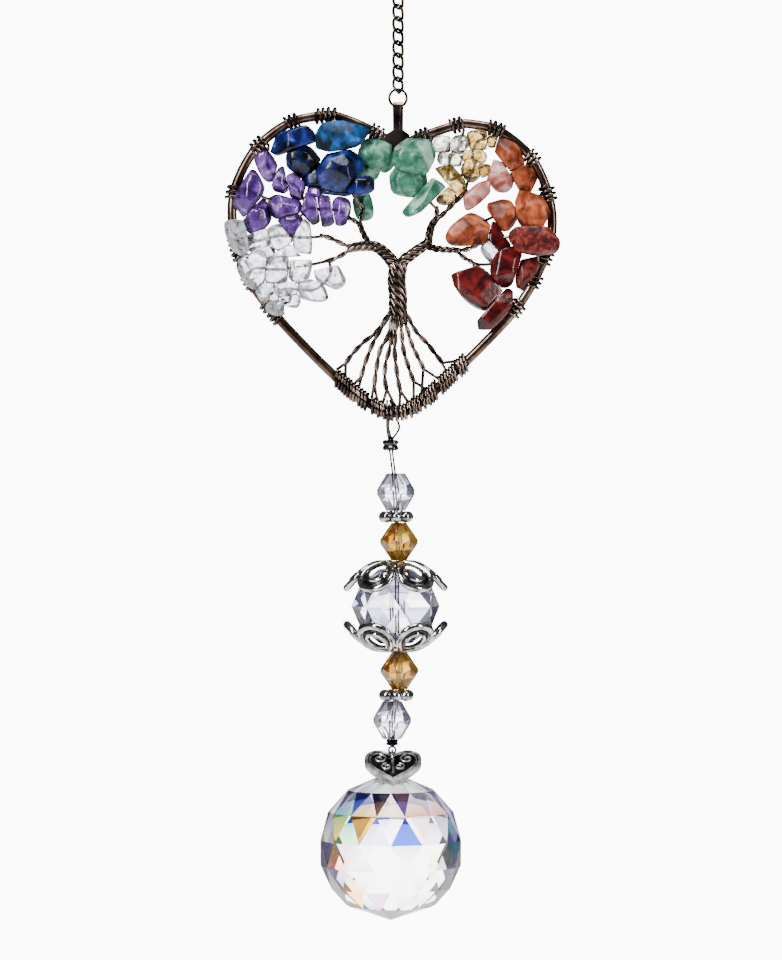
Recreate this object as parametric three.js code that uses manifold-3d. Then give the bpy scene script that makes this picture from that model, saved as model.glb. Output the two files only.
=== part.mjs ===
// A crystal suncatcher: a wire tree in a copper heart, and a beaded strand with a crystal ball.
// Millimetres, +Z up, X to the right, the viewer at -Y.
// The origin is the inside top of the hanging ring, where a hook bears.
import * as THREE from "three";
import { ConvexGeometry } from "three/addons/geometries/ConvexGeometry.js";
import { mergeVertices } from "three/addons/utils/BufferGeometryUtils.js";
import Module from "manifold-3d";

const wasm = await Module();
wasm.setup();

// Clearances.
const GAP = 0.12; // between pieces that bear on each other
const BORE_GAP = 0.1; // round a wire in its bore
const BITE = 0.1; // how far two chain links press into each other
const SIMPLEST = 0.05; // slivers that a cut leaves are cleared away below this size

// Chain and its rings.
const HANG_RING_WIDTH = 8;
const HANG_RING_WIRE = 0.9;
const LINK_LENGTH = 3.6;
const LINK_WIDTH = 2.4;
const LINK_WIRE = 0.6;
const LINK_COUNT = 9;
const LINK_TWIST = Math.PI / 2; // a curb link is turned a quarter from end to end
const JUMP_RING_WIDTH = 4.1;
const JUMP_RING_WIRE = 0.5;

// Bail.
const BAIL_LENGTH = 9.3; // from its fold to the heart's dip
const BAIL_WIDTH = 2.1;
const BAIL_SHEET = 0.6;

// Heart and tree.
const HEART_WIDTH = 68;
const HEART_SQUARES = 68; // the heart is drawn on a grid this many squares wide
const FRAME_ROD = 2;
const TREE_WIRE = 0.6;
const TRUNK_WIDTH = 3.9;
const LIMB_WIDTH = 2.7;
const BRANCH_WIDTH = 1.3;
const ROOT_WIDTH = 1.15;

// Strand.
const STRAND_WIRE = 0.7;
const STRAND_LENGTH = 12.4; // from the middle of the rod at the heart's tip to the first bead
const LOOP_WIRE = 0.5;
const LOOP_ACROSS = -1.9; // the square where the loop crosses the frame, between two roots
const CRIMP_DROP = 6.7; // from the middle of the rod at the tip to the crimp's middle
const CRIMP_WIDTH = 3.4;
const CRIMP_HEIGHT = 2.4;
const LOWER_CRIMP_WIDTH = 2.4;
const LOWER_CRIMP_HEIGHT = 1;
const EYE_WIDTH = 1.9;
const BICONE_WIDTH = 8;
const BICONE_HEIGHT = 8;
const BICONE_END = 3.8; // width of a bicone's flat ends
const BICONE_SIDES = 8;
const SPACER_WIDTH = 7.2;
const SPACER_HEIGHT = 2;
const SPACER_BALLS = 8;
const CRYSTAL_WIDTH = 18.4;
const CRYSTAL_HEIGHT = 16.6;
const CRYSTAL_SIDES = 10;
const CRYSTAL_END_SHARE = 0.36; // width of its flat ends, as a share of its width
const CROWN_HEIGHT = 0.8;
const CROWN_WIDTH = 6;
const CAP_PETALS = 6;
const CAP_BAND = 1; // thickness of a petal's band
const CAP_FLARE = 0.9; // how far a petal's tip stands off the crystal
const LINK_RING_WIDTH = 4;
const LINK_RING_WIRE = 0.5;
const BALL_WIDTH = 30;
const BALL_SIDES = 12;
const BALL_EYE_WIDTH = 2.4;
const BALL_EYE_WIRE = 0.5;
const BALL_PIN_DEPTH = 3;

// Heart charm.
const CHARM_WIDTH = 11.9;
const CHARM_WALL = 1.7;
const CHARM_RIM = 0.7;
const CHARM_RECESS = 0.7;
const CHARM_TILT = 0.54; // radians, its face leans towards the viewer
const CHARM_LIFT = 1.3; // its dip above the link ring's middle
const CHARM_BACK = 0.65; // its dip behind the strand

// Basic solids.

// Turns a closed three.js geometry into a solid that can be joined and cut.
function solid(geometry) {
  const bare = new THREE.BufferGeometry();
  bare.setAttribute("position", geometry.getAttribute("position"));
  bare.setIndex(geometry.index);
  const merged = mergeVertices(bare, 1e-4);
  const vertProperties = merged.attributes.position.array;
  const triVerts = merged.index.array;
  return new wasm.Manifold(new wasm.Mesh({ numProp: 3, vertProperties, triVerts }));
}

// Joins a list of solids.
function joined(bodies) {
  return bodies.reduce((whole, body) => whole.add(body));
}

// The largest of the separate bodies that a cut leaves.
function largest(body) {
  const parts = body.decompose();
  return parts.reduce((best, part) => (part.volume() > best.volume() ? part : best));
}

// Moves every corner of a geometry by a function.
function reshaped(geometry, move) {
  const position = geometry.getAttribute("position");
  const corner = new THREE.Vector3();
  for (let i = 0; i < position.count; i++) {
    corner.fromBufferAttribute(position, i);
    const moved = move(corner);
    position.setXYZ(i, moved.x, moved.y, moved.z);
  }
  return geometry;
}

// A polygon shape with its corners on a circle.
function polygon(radius, sides) {
  const corners = [];
  for (let i = 0; i < sides; i++) {
    const angle = (2 * Math.PI * i) / sides;
    corners.push(new THREE.Vector2(radius * Math.cos(angle), radius * Math.sin(angle)));
  }
  return new THREE.Shape(corners);
}

// A smooth curve through points.
function curveThrough(points) {
  return new THREE.CatmullRomCurve3(points, false, "centripetal");
}

// A plain round rod along a curve.
function rodAlong(curve, radius, sides, steps) {
  const options = { extrudePath: curve, steps };
  return solid(new THREE.ExtrudeGeometry(polygon(radius, sides), options));
}

// Wires twisted together: a bar with one lobe for each wire, which turns as it runs along a curve.
function twistedBar(curve, { wires, startRadius, endRadius, turns, steps, groove = 0.25 }) {
  const sides = 2 * wires;
  const bar = new THREE.CylinderGeometry(1, 1, 1, sides, steps);
  const frames = curve.computeFrenetFrames(steps, false);
  return solid(
    reshaped(bar, (corner) => {
      const along = 0.5 - corner.y;
      const step = Math.round(along * steps);
      const angle = Math.atan2(corner.x, corner.z);
      const inGroove = Math.abs(Math.round((angle * sides) / (2 * Math.PI))) % 2;
      const size = startRadius + (endRadius - startRadius) * along;
      const radius = Math.hypot(corner.x, corner.z) * size * (1 - groove * inGroove);
      const turned = angle + 2 * Math.PI * turns * along;
      return curve
        .getPointAt(along)
        .addScaledVector(frames.normals[step], radius * Math.sin(turned))
        .addScaledVector(frames.binormals[step], radius * Math.cos(turned));
    }),
  );
}

// A closed loop of wire or band: a torus whose middle circle is moved onto a closed path.
// The path takes an angle; the two radii are the section's, outwards and across.
function loopAlong(path, centre, outRadius, acrossRadius, sides, steps) {
  const torus = new THREE.TorusGeometry(2, 1, sides, steps);
  const nudge = 1e-3;
  return solid(
    reshaped(torus, (corner) => {
      const angle = Math.atan2(corner.y, corner.x);
      const out = Math.hypot(corner.x, corner.y) - 2;
      const middle = path(angle);
      const ahead = path(angle + nudge).sub(path(angle - nudge)).normalize();
      const outward = middle.clone().sub(centre);
      outward.addScaledVector(ahead, -outward.dot(ahead)).normalize();
      const across = outward.clone().cross(ahead);
      return middle
        .addScaledVector(outward, out * outRadius)
        .addScaledVector(across, corner.z * acrossRadius);
    }),
  );
}

// A solid of revolution about Z, from a closed profile of [radius, height] pairs.
function turned(profile, segments) {
  const points = profile.map(([radius, height]) => new THREE.Vector2(radius, height));
  points.push(points[0].clone());
  return new THREE.LatheGeometry(points, segments).rotateX(Math.PI / 2);
}

// The convex solid round a list of points.
function hullOf(points) {
  return solid(new ConvexGeometry(points));
}

// A ring of points about the Z axis.
function ringOfPoints(radius, height, sides, shift) {
  const points = [];
  for (let i = 0; i < sides; i++) {
    const angle = (2 * Math.PI * (i + shift)) / sides;
    points.push(new THREE.Vector3(radius * Math.cos(angle), radius * Math.sin(angle), height));
  }
  return points;
}

// Materials.

const finish = (color, roughness, metalness) => ({ color, roughness, metalness });
const FINISHES = {
  copper: finish(0x6b4636, 0.35, 1),
  bronze: finish(0x5c5138, 0.4, 1),
  silver: finish(0x8f8a86, 0.3, 1),
  lapis: finish(0x1a2f80, 0.25, 0),
  aventurine: finish(0x5a9f80, 0.35, 0),
  amethyst: finish(0x7d5ca3, 0.2, 0),
  quartz: finish(0xdedde6, 0.15, 0),
  citrine: finish(0xd9c9a0, 0.15, 0),
  carnelian: finish(0xb5573c, 0.25, 0),
  jasper: finish(0x7c1a22, 0.25, 0),
  crystal: finish(0xeef0f6, 0.03, 0),
  amber: finish(0xc98d3c, 0.05, 0),
};

const suncatcher = new THREE.Group();

// Adds a solid to the suncatcher as a named mesh.
function addPiece(name, body, finishName) {
  const shape = body.asOriginal().simplify(SIMPLEST).getMesh();
  const geometry = new THREE.BufferGeometry();
  geometry.setAttribute("position", new THREE.BufferAttribute(shape.vertProperties, 3));
  geometry.setIndex(new THREE.BufferAttribute(shape.triVerts, 1));
  geometry.computeVertexNormals();
  const material = new THREE.MeshStandardMaterial(FINISHES[finishName]);
  const mesh = new THREE.Mesh(geometry, material);
  mesh.name = name;
  suncatcher.add(mesh);
}

// Hanging ring: its inside top is the origin.

const hangRingInside = HANG_RING_WIDTH - 2 * HANG_RING_WIRE;

// A plain wire ring that faces along Y or X, from its inside top.
function wireRing(insideTop, x, width, wire, facesX, sides, steps) {
  const radius = (width - wire) / 2;
  const centre = new THREE.Vector3(x, 0, insideTop - (width / 2 - wire));
  const path = (angle) => {
    const across = radius * Math.cos(angle);
    const flat = facesX ? new THREE.Vector3(0, across, 0) : new THREE.Vector3(across, 0, 0);
    flat.z = radius * Math.sin(angle);
    return flat.add(centre);
  };
  return loopAlong(path, centre, wire / 2, wire / 2, sides, steps);
}

addPiece("hanging_ring", wireRing(0, 0, HANG_RING_WIDTH, HANG_RING_WIRE, true, 5, 14), "bronze");

// Chain: each link bears on the one above, and all are alike.

const linkPitch = LINK_LENGTH - 2 * LINK_WIRE + BITE;
const firstLinkTop = -hangRingInside + GAP + LINK_WIRE;
const firstLinkMiddle = firstLinkTop - LINK_LENGTH / 2;
const lastLinkMiddle = firstLinkMiddle - (LINK_COUNT - 1) * linkPitch;

// One curb link: a long loop, turned about its own length.
function curbLink(middle) {
  const halfStraight = (LINK_LENGTH - LINK_WIDTH) / 2;
  const bend = (LINK_WIDTH - LINK_WIRE) / 2;
  const centre = new THREE.Vector3(0, 0, middle);
  const path = (angle) => {
    const across = bend * Math.cos(angle);
    const up = bend * Math.sin(angle) + halfStraight * Math.sign(Math.round(4 * Math.sin(angle)));
    const turn = (3 * Math.PI) / 4 + (LINK_TWIST * up) / (2 * (halfStraight + bend));
    return new THREE.Vector3(across * Math.cos(turn), across * Math.sin(turn), up).add(centre);
  };
  return loopAlong(path, centre, LINK_WIRE / 2, LINK_WIRE / 2, 4, 8);
}

function curbChain() {
  const links = [];
  for (let i = 0; i < LINK_COUNT; i++) {
    links.push(curbLink(firstLinkMiddle - i * linkPitch));
  }
  return joined(links);
}

addPiece("curb_chain", curbChain(), "bronze");

// Jump ring: it hangs in the last link.

const jumpInsideTop = lastLinkMiddle - LINK_LENGTH / 2 + LINK_WIRE + GAP;
const jumpInsideBottom = jumpInsideTop - (JUMP_RING_WIDTH - 2 * JUMP_RING_WIRE);

const jumpRing = (spare) =>
  wireRing(
    jumpInsideTop - spare,
    0,
    JUMP_RING_WIDTH + 2 * spare,
    JUMP_RING_WIRE + 2 * spare,
    false,
    5,
    12,
  );
addPiece("jump_ring", jumpRing(0), "bronze");

// The heart's grid: across, up and depth in squares from the heart's dip.

const SQUARE = HEART_WIDTH / HEART_SQUARES;
const bailTop = jumpInsideBottom + GAP + BAIL_SHEET;
const heartDip = bailTop - BAIL_LENGTH;

function at(across, up, depth = 0) {
  return new THREE.Vector3(across * SQUARE, depth * SQUARE, heartDip + up * SQUARE);
}

// Heart frame: one rod, from the dip round the left lobe, the tip and the right lobe.

const HEART_OUTLINE = [
  [-0.95, 0.35],
  [-5, 3.2],
  [-11.9, 6.1],
  [-15.5, 6.5],
  [-22.6, 4.9],
  [-29.2, -0.1],
  [-33, -6.5],
  [-34.3, -12],
  [-33.7, -19.2],
  [-30.7, -27.5],
  [-24.8, -35.4],
  [-13.4, -47.1],
  [-5.4, -53.4],
  [0, -55],
  [4.6, -52.9],
  [9.9, -48.3],
  [18.1, -40.4],
  [25.4, -32.2],
  [30.3, -23.1],
  [31.9, -16.3],
  [30.9, -9.2],
  [27.5, -2.1],
  [21.2, 3.2],
  [15.3, 4.7],
  [12.1, 4.5],
  [4.8, 2.1],
  [0.95, 0.35],
];
const heartCurve = curveThrough(HEART_OUTLINE.map(([across, up]) => at(across, up)));
heartCurve.arcLengthDivisions = 800;
const heartLength = heartCurve.getLength();
const FRAME_STEPS = 48;

const frameRod = (spare) => rodAlong(heartCurve, FRAME_ROD / 2 + spare, 6, FRAME_STEPS);
addPiece("heart_frame", frameRod(0), "copper");

// The share of the frame's length where a measure of the place there is least.
function shareOfFrame(measure) {
  const samples = 600;
  let best = 0;
  let least = Infinity;
  for (let i = 0; i <= samples; i++) {
    const value = measure(heartCurve.getPointAt(i / samples));
    if (value < least) {
      best = i / samples;
      least = value;
    }
  }
  return best;
}

const nearestOnFrame = (point) => shareOfFrame((place) => place.distanceTo(point));

// The share where the lower half of the heart crosses an upright line of the grid.
function lowerFrameAt(across) {
  const line = at(across, -40);
  return shareOfFrame((place) => Math.abs(place.x - line.x) + Math.max(0, place.z - line.z));
}

// Wraps: turns of wire round the frame, as a ribbed sleeve bent along it.

const sleeveInside = FRAME_ROD / 2 + 2 * BORE_GAP;
const SLEEVE_SIDES = 5;
const STRAIGHT_STRETCH = 1.3; // the longest straight stretch of a sleeve's bore

// The sleeve has few sides, so that its flats, not its corners, keep the clearance.
const insideFlat = sleeveInside / Math.cos(Math.PI / SLEEVE_SIDES);

function bentRoundFrame(geometry, middle) {
  return reshaped(geometry, (corner) => {
    const share = THREE.MathUtils.clamp(middle + corner.z / heartLength, 0, 1);
    const ahead = heartCurve.getTangentAt(share);
    const outward = new THREE.Vector3(ahead.z, 0, -ahead.x);
    const place = heartCurve.getPointAt(share).addScaledVector(outward, corner.x);
    place.y += corner.y;
    return place;
  });
}

function sleeve(middle, turns, pitch) {
  const half = (turns * pitch) / 2;
  const profile = [];
  const inner = Math.ceil((2 * half) / STRAIGHT_STRETCH);
  for (let i = 0; i <= inner; i++) {
    profile.push([insideFlat, half - (2 * half * i) / inner]);
  }
  for (let i = 0; i < turns; i++) {
    profile.push([insideFlat + TREE_WIRE / 3, -half + i * pitch]);
    profile.push([insideFlat + TREE_WIRE, -half + (i + 0.5) * pitch]);
  }
  profile.push([insideFlat + TREE_WIRE / 3, half]);
  return solid(bentRoundFrame(turned(profile, SLEEVE_SIDES), middle));
}

// The plain room that a sleeve needs.
function sleeveRoom(middle, turns, pitch) {
  const half = (turns * pitch) / 2 + BORE_GAP;
  const outside = insideFlat + TREE_WIRE + 2 * BORE_GAP;
  const profile = [
    [FRAME_ROD / 4, half],
    [FRAME_ROD / 4, -half],
    [outside, -half],
    [outside, half],
  ];
  return solid(bentRoundFrame(turned(profile, SLEEVE_SIDES), middle));
}

const CLOSE_PITCH = TREE_WIRE * 1.05;
const DRAWN_PITCH = 1.5 * CLOSE_PITCH; // the sleeves draw two ribs for three turns

// Each wrap: its place on the grid and its turns.
const WRAPS = {
  leftHigh: { place: [-34.6, -9.1], turns: 3 },
  leftShoulder: { place: [-29.2, 0.4], turns: 4 },
  leftCrown: { place: [-21.9, 5.6], turns: 3 },
  lobeCrown: { place: [-14.9, 6.6], turns: 5 },
  dipLeft: { place: [-4.1, 3.3], turns: 3 },
  leftMiddle: { place: [-33.3, -22.3], turns: 4 },
  leftLow: { place: [-30.4, -27.9], turns: 4 },
  leftLower: { place: [-27.7, -33.3], turns: 2 },
  leftLowest: { place: [-25.7, -35.4], turns: 3 },
  dipRight: { place: [4.8, 2.3], turns: 4 },
  rightCrown: { place: [12.2, 4.6], turns: 3 },
  rightShoulder: { place: [20.1, 3.9], turns: 3 },
  rightHigh: { place: [27.9, -2.3], turns: 3 },
  rightMiddle: { place: [31, -9.5], turns: 4 },
  rightLow: { place: [30.6, -23], turns: 3 },
  rightLower: { place: [28.3, -27.9], turns: 3 },
  rightLowest: { place: [24.6, -33.3], turns: 4 },
};
for (const wrap of Object.values(WRAPS)) {
  wrap.middle = nearestOnFrame(at(...wrap.place));
}

const wrapSleeve = (name) => {
  const { middle, turns } = WRAPS[name];
  const ribs = Math.round((turns * CLOSE_PITCH) / DRAWN_PITCH);
  return sleeve(middle, ribs, (turns * CLOSE_PITCH) / ribs);
};
const wrapRoom = (name) => sleeveRoom(WRAPS[name].middle, WRAPS[name].turns, CLOSE_PITCH);

// Bail: a strap folded over the jump ring, and a clamp over the two rod ends.

// The side view of the strap: two legs that meet in a round fold, with a slot for the jump ring.
function bailStrap() {
  const slotRadius = JUMP_RING_WIRE / 2 + GAP;
  const radius = slotRadius + BAIL_SHEET;
  const foldMiddle = bailTop - radius;
  const foot = heartDip + FRAME_ROD;
  const slotFoot = foot + 3 * BAIL_SHEET;
  const outline = new THREE.Shape();
  outline.moveTo(radius, foot);
  outline.lineTo(radius, foldMiddle);
  outline.absarc(0, foldMiddle, radius, 0, Math.PI, false);
  outline.lineTo(-radius, foot);
  const slot = new THREE.Path();
  slot.moveTo(slotRadius, slotFoot);
  slot.lineTo(slotRadius, foldMiddle);
  slot.absarc(0, foldMiddle, slotRadius, 0, Math.PI, false);
  slot.lineTo(-slotRadius, slotFoot);
  outline.holes.push(slot);
  const options = { depth: BAIL_WIDTH, bevelEnabled: false, curveSegments: 6 };
  const band = new THREE.ExtrudeGeometry(outline, options);
  band.translate(0, 0, -BAIL_WIDTH / 2);
  band.rotateX(Math.PI / 2).rotateZ(Math.PI / 2);
  return solid(band);
}

// The front view of the clamp, a shield that tapers to a point below the dip.
function bailClamp() {
  const half = BAIL_WIDTH / 2 / SQUARE;
  const shield = [
    [-half, 3.4],
    [-2.7, 2.4],
    [-2.6, 0.9],
    [-0.9, -1.5],
    [0.3, -1.5],
    [2.3, 0.9],
    [2.4, 2.4],
    [half, 3.4],
  ];
  const corners = shield.map(
    ([across, up]) => new THREE.Vector2(across * SQUARE, heartDip + up * SQUARE),
  );
  const depth = FRAME_ROD + 2 * BORE_GAP + 2 * BAIL_SHEET;
  const options = { depth, bevelEnabled: false };
  const block = new THREE.ExtrudeGeometry(new THREE.Shape(corners), options);
  block.translate(0, 0, -depth / 2);
  block.rotateX(Math.PI / 2);
  return solid(block);
}

const bailBody = bailStrap().add(bailClamp());
addPiece("bail", bailBody.subtract(frameRod(BORE_GAP)).subtract(jumpRing(BORE_GAP)), "copper");

// Wire tree. Each limb is a bundle of twisted wires: its route on the grid, the number of wires,
// its width at the start and the end, how often it turns, and how finely it is stepped.

const LIMBS = {
  trunk: {
    route: [
      [0.2, -24.6],
      [-0.3, -27.5],
      [0, -31],
      [-0.1, -34.8],
    ],
    wires: 4,
    widths: [TRUNK_WIDTH * 0.9, TRUNK_WIDTH * 1.05],
    turns: 0.8,
    steps: 5,
  },
  leftLimb: {
    route: [
      [0, -27],
      [-1, -24],
      [-4.1, -20.9],
      [-7.2, -20.5],
      [-10.3, -21],
    ],
    wires: 3,
    widths: [LIMB_WIDTH * 1.1, LIMB_WIDTH * 0.72],
    turns: 1.6,
    steps: 7,
  },
  rightLimb: {
    route: [
      [0.2, -27],
      [0.8, -24],
      [2.9, -22.2],
      [5, -20.7],
      [6.6, -19.8],
    ],
    wires: 3,
    widths: [LIMB_WIDTH, LIMB_WIDTH * 0.72],
    turns: -1.2,
    steps: 5,
  },
  leftUp: {
    route: [
      [-5.6, -20.8],
      [-6.4, -19.3],
      [-7.4, -17.4],
      [-7.9, -15.8],
    ],
    wires: 2,
    widths: [BRANCH_WIDTH, BRANCH_WIDTH],
    turns: 1,
    steps: 5,
  },
  leftUpOuter: {
    route: [
      [-7.8, -16.4],
      [-8.9, -15.3],
      [-10.1, -14.8],
    ],
    wires: 2,
    widths: [BRANCH_WIDTH, TREE_WIRE * 1.3],
    turns: 0.5,
    steps: 3,
  },
  leftUpInner: {
    route: [
      [-7.9, -16.4],
      [-7.7, -14.7],
      [-7.3, -13],
      [-8.2, -11.6],
    ],
    wires: 2,
    widths: [BRANCH_WIDTH, TREE_WIRE * 1.3],
    turns: 0.8,
    steps: 5,
  },
  leftHigh: {
    route: [
      [-9.6, -20.9],
      [-11.8, -19.9],
      [-14.1, -18.8],
      [-16.2, -18.2],
    ],
    wires: 2,
    widths: [BRANCH_WIDTH, TREE_WIRE * 1.4],
    turns: 1.2,
    steps: 4,
  },
  leftLow: {
    route: [
      [-9.6, -21],
      [-12, -22.6],
      [-13.9, -23.4],
      [-15.2, -23.6],
    ],
    wires: 2,
    widths: [BRANCH_WIDTH, TREE_WIRE * 1.4],
    turns: 1.2,
    steps: 4,
  },
  rightUp: {
    route: [
      [6.1, -20.6],
      [6.5, -18],
      [7, -16.2],
      [7.9, -14.9],
    ],
    wires: 3,
    widths: [BRANCH_WIDTH * 1.5, BRANCH_WIDTH * 1.15],
    turns: 0.9,
    steps: 4,
  },
  rightUpInner: {
    route: [
      [7.7, -15.4],
      [8, -13.7],
      [8.1, -12.2],
    ],
    wires: 2,
    widths: [BRANCH_WIDTH, TREE_WIRE * 1.3],
    turns: 0.5,
    steps: 3,
  },
  rightUpOuter: {
    route: [
      [7.6, -15.4],
      [8.7, -14.5],
      [11, -12.2],
      [13.4, -9.9],
      [14.3, -8.8],
    ],
    wires: 2,
    widths: [BRANCH_WIDTH, TREE_WIRE * 1.4],
    turns: 1.5,
    steps: 5,
  },
  rightLow: {
    route: [
      [6, -20.3],
      [7.2, -20.9],
      [9.3, -21.2],
      [12.6, -21.4],
    ],
    wires: 2,
    widths: [BRANCH_WIDTH, BRANCH_WIDTH],
    turns: 1.2,
    steps: 4,
  },
  rightLowUpper: {
    route: [
      [12.2, -21.4],
      [14.2, -21.2],
      [16.2, -20.4],
    ],
    wires: 2,
    widths: [BRANCH_WIDTH, TREE_WIRE],
    turns: 0.6,
    steps: 3,
  },
  rightLowLower: {
    route: [
      [12.2, -21.4],
      [13.4, -22.7],
      [15.3, -23.8],
    ],
    wires: 2,
    widths: [BRANCH_WIDTH, TREE_WIRE],
    turns: 0.6,
    steps: 3,
  },
};

const gridCurve = (route) => curveThrough(route.map((place) => at(...place)));

// A limb, or the plain room round it when there is some to spare.
function limb({ route, wires, widths, turns, steps }, spare = 0) {
  const shape = { wires, turns, steps };
  shape.startRadius = widths[0] / 2 + spare;
  shape.endRadius = widths[1] / 2 + spare;
  shape.groove = spare > 0 ? 0 : 0.25;
  return twistedBar(gridCurve(route), shape);
}

// Roots: pairs of twisted wires that part near the frame and end in wraps on it.
// Each has its route and the two places on the frame where its wires land.
const root = (lands, ...route) => ({ route, lands });
const ROOTS = [
  root([-12.9, -11.3], [-1.2, -33.4], [-4.3, -38.1], [-7, -40.3], [-9.5, -42.9], [-10.9, -44.9]),
  root([-9.3, -8.3], [-1, -33.4], [-4.4, -39.1], [-5.7, -41.8], [-7, -45.3], [-7.7, -47.8]),
  root([-5.6, -4.3], [-0.7, -33.4], [-2.1, -39.1], [-3.7, -42], [-4.6, -46.8], [-4.9, -49.4]),
  root([-3.1, -0.7], [-0.4, -33.4], [-1.6, -41], [-2.6, -44.9], [-2.7, -48.4], [-2.3, -50.3]),
  root([0.3, 2.4], [0, -33.4], [-0.7, -41.2], [-0.4, -45.3], [0.1, -48.8], [0.5, -50.6]),
  root([3.5, 6.1], [0.4, -33.4], [1, -41.2], [2.1, -45.3], [2.9, -47.6], [3.3, -48.6]),
  root([5, 8.6], [0.7, -33.4], [2.6, -40.1], [3.9, -43.1], [4.9, -45], [5.3, -46]),
  root([10.2, 12.6], [1.1, -33.4], [3.7, -38.1], [6, -40.6], [8.1, -43.3], [9.2, -44.7]),
];

// Close wraps along the heart's tip: their ends on the grid, and how far apart the turns lie.
const ROOT_WRAPS = [
  { from: [-13.6, -47], to: [-11, -49.2], pitch: CLOSE_PITCH * 1.4 },
  { from: [-9.9, -50], to: [-7.8, -51.6], pitch: CLOSE_PITCH * 1.4 },
  { from: [-6.1, -52.8], to: [9, -49.2], pitch: CLOSE_PITCH * 2.6 },
  { from: [9.5, -48.7], to: [13.6, -44.8], pitch: CLOSE_PITCH * 1.8 },
];

function rootSleeve({ from, to, pitch }) {
  const start = nearestOnFrame(at(...from));
  const end = nearestOnFrame(at(...to));
  const turns = Math.max(1, Math.round(((end - start) * heartLength) / pitch));
  return sleeve((start + end) / 2, turns, pitch);
}

// A point in the wall of a sleeve, on the side of the frame that faces a given point.
function inSleeveWall(share, towards) {
  const middle = heartCurve.getPointAt(share);
  const ahead = heartCurve.getTangentAt(share);
  const away = towards.clone().sub(middle);
  away.addScaledVector(ahead, -away.dot(ahead)).normalize();
  return middle.addScaledVector(away, sleeveInside + 0.7 * TREE_WIRE);
}

function rootWires({ route, lands }) {
  const pair = { route, wires: 2, widths: [ROOT_WIDTH, ROOT_WIDTH], turns: 1.5, steps: 5 };
  const split = at(...route.at(-1));
  const tails = lands.map((across) => {
    const share = lowerFrameAt(across);
    const curve = new THREE.LineCurve3(split, inSleeveWall(share, split));
    return rodAlong(curve, TREE_WIRE / 2, 4, 1);
  });
  return joined([limb(pair), ...tails]);
}

const limbs = joined(Object.values(LIMBS).map((shape) => limb(shape)));
const roots = joined(ROOTS.map(rootWires));
const rootWraps = joined(ROOT_WRAPS.map(rootSleeve));
addPiece("wire_tree", joined([limbs, roots, rootWraps]), "copper");

// Gem chips: tumbled chips, drilled and threaded on the wires.
// Each has its place on the grid (across, up, depth), its length and width in squares, how far it
// is turned in degrees, and how much it narrows towards its far end.

const chip = (place, length, width, turn, taper = 0) => ({ place, length, width, turn, taper });

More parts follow.
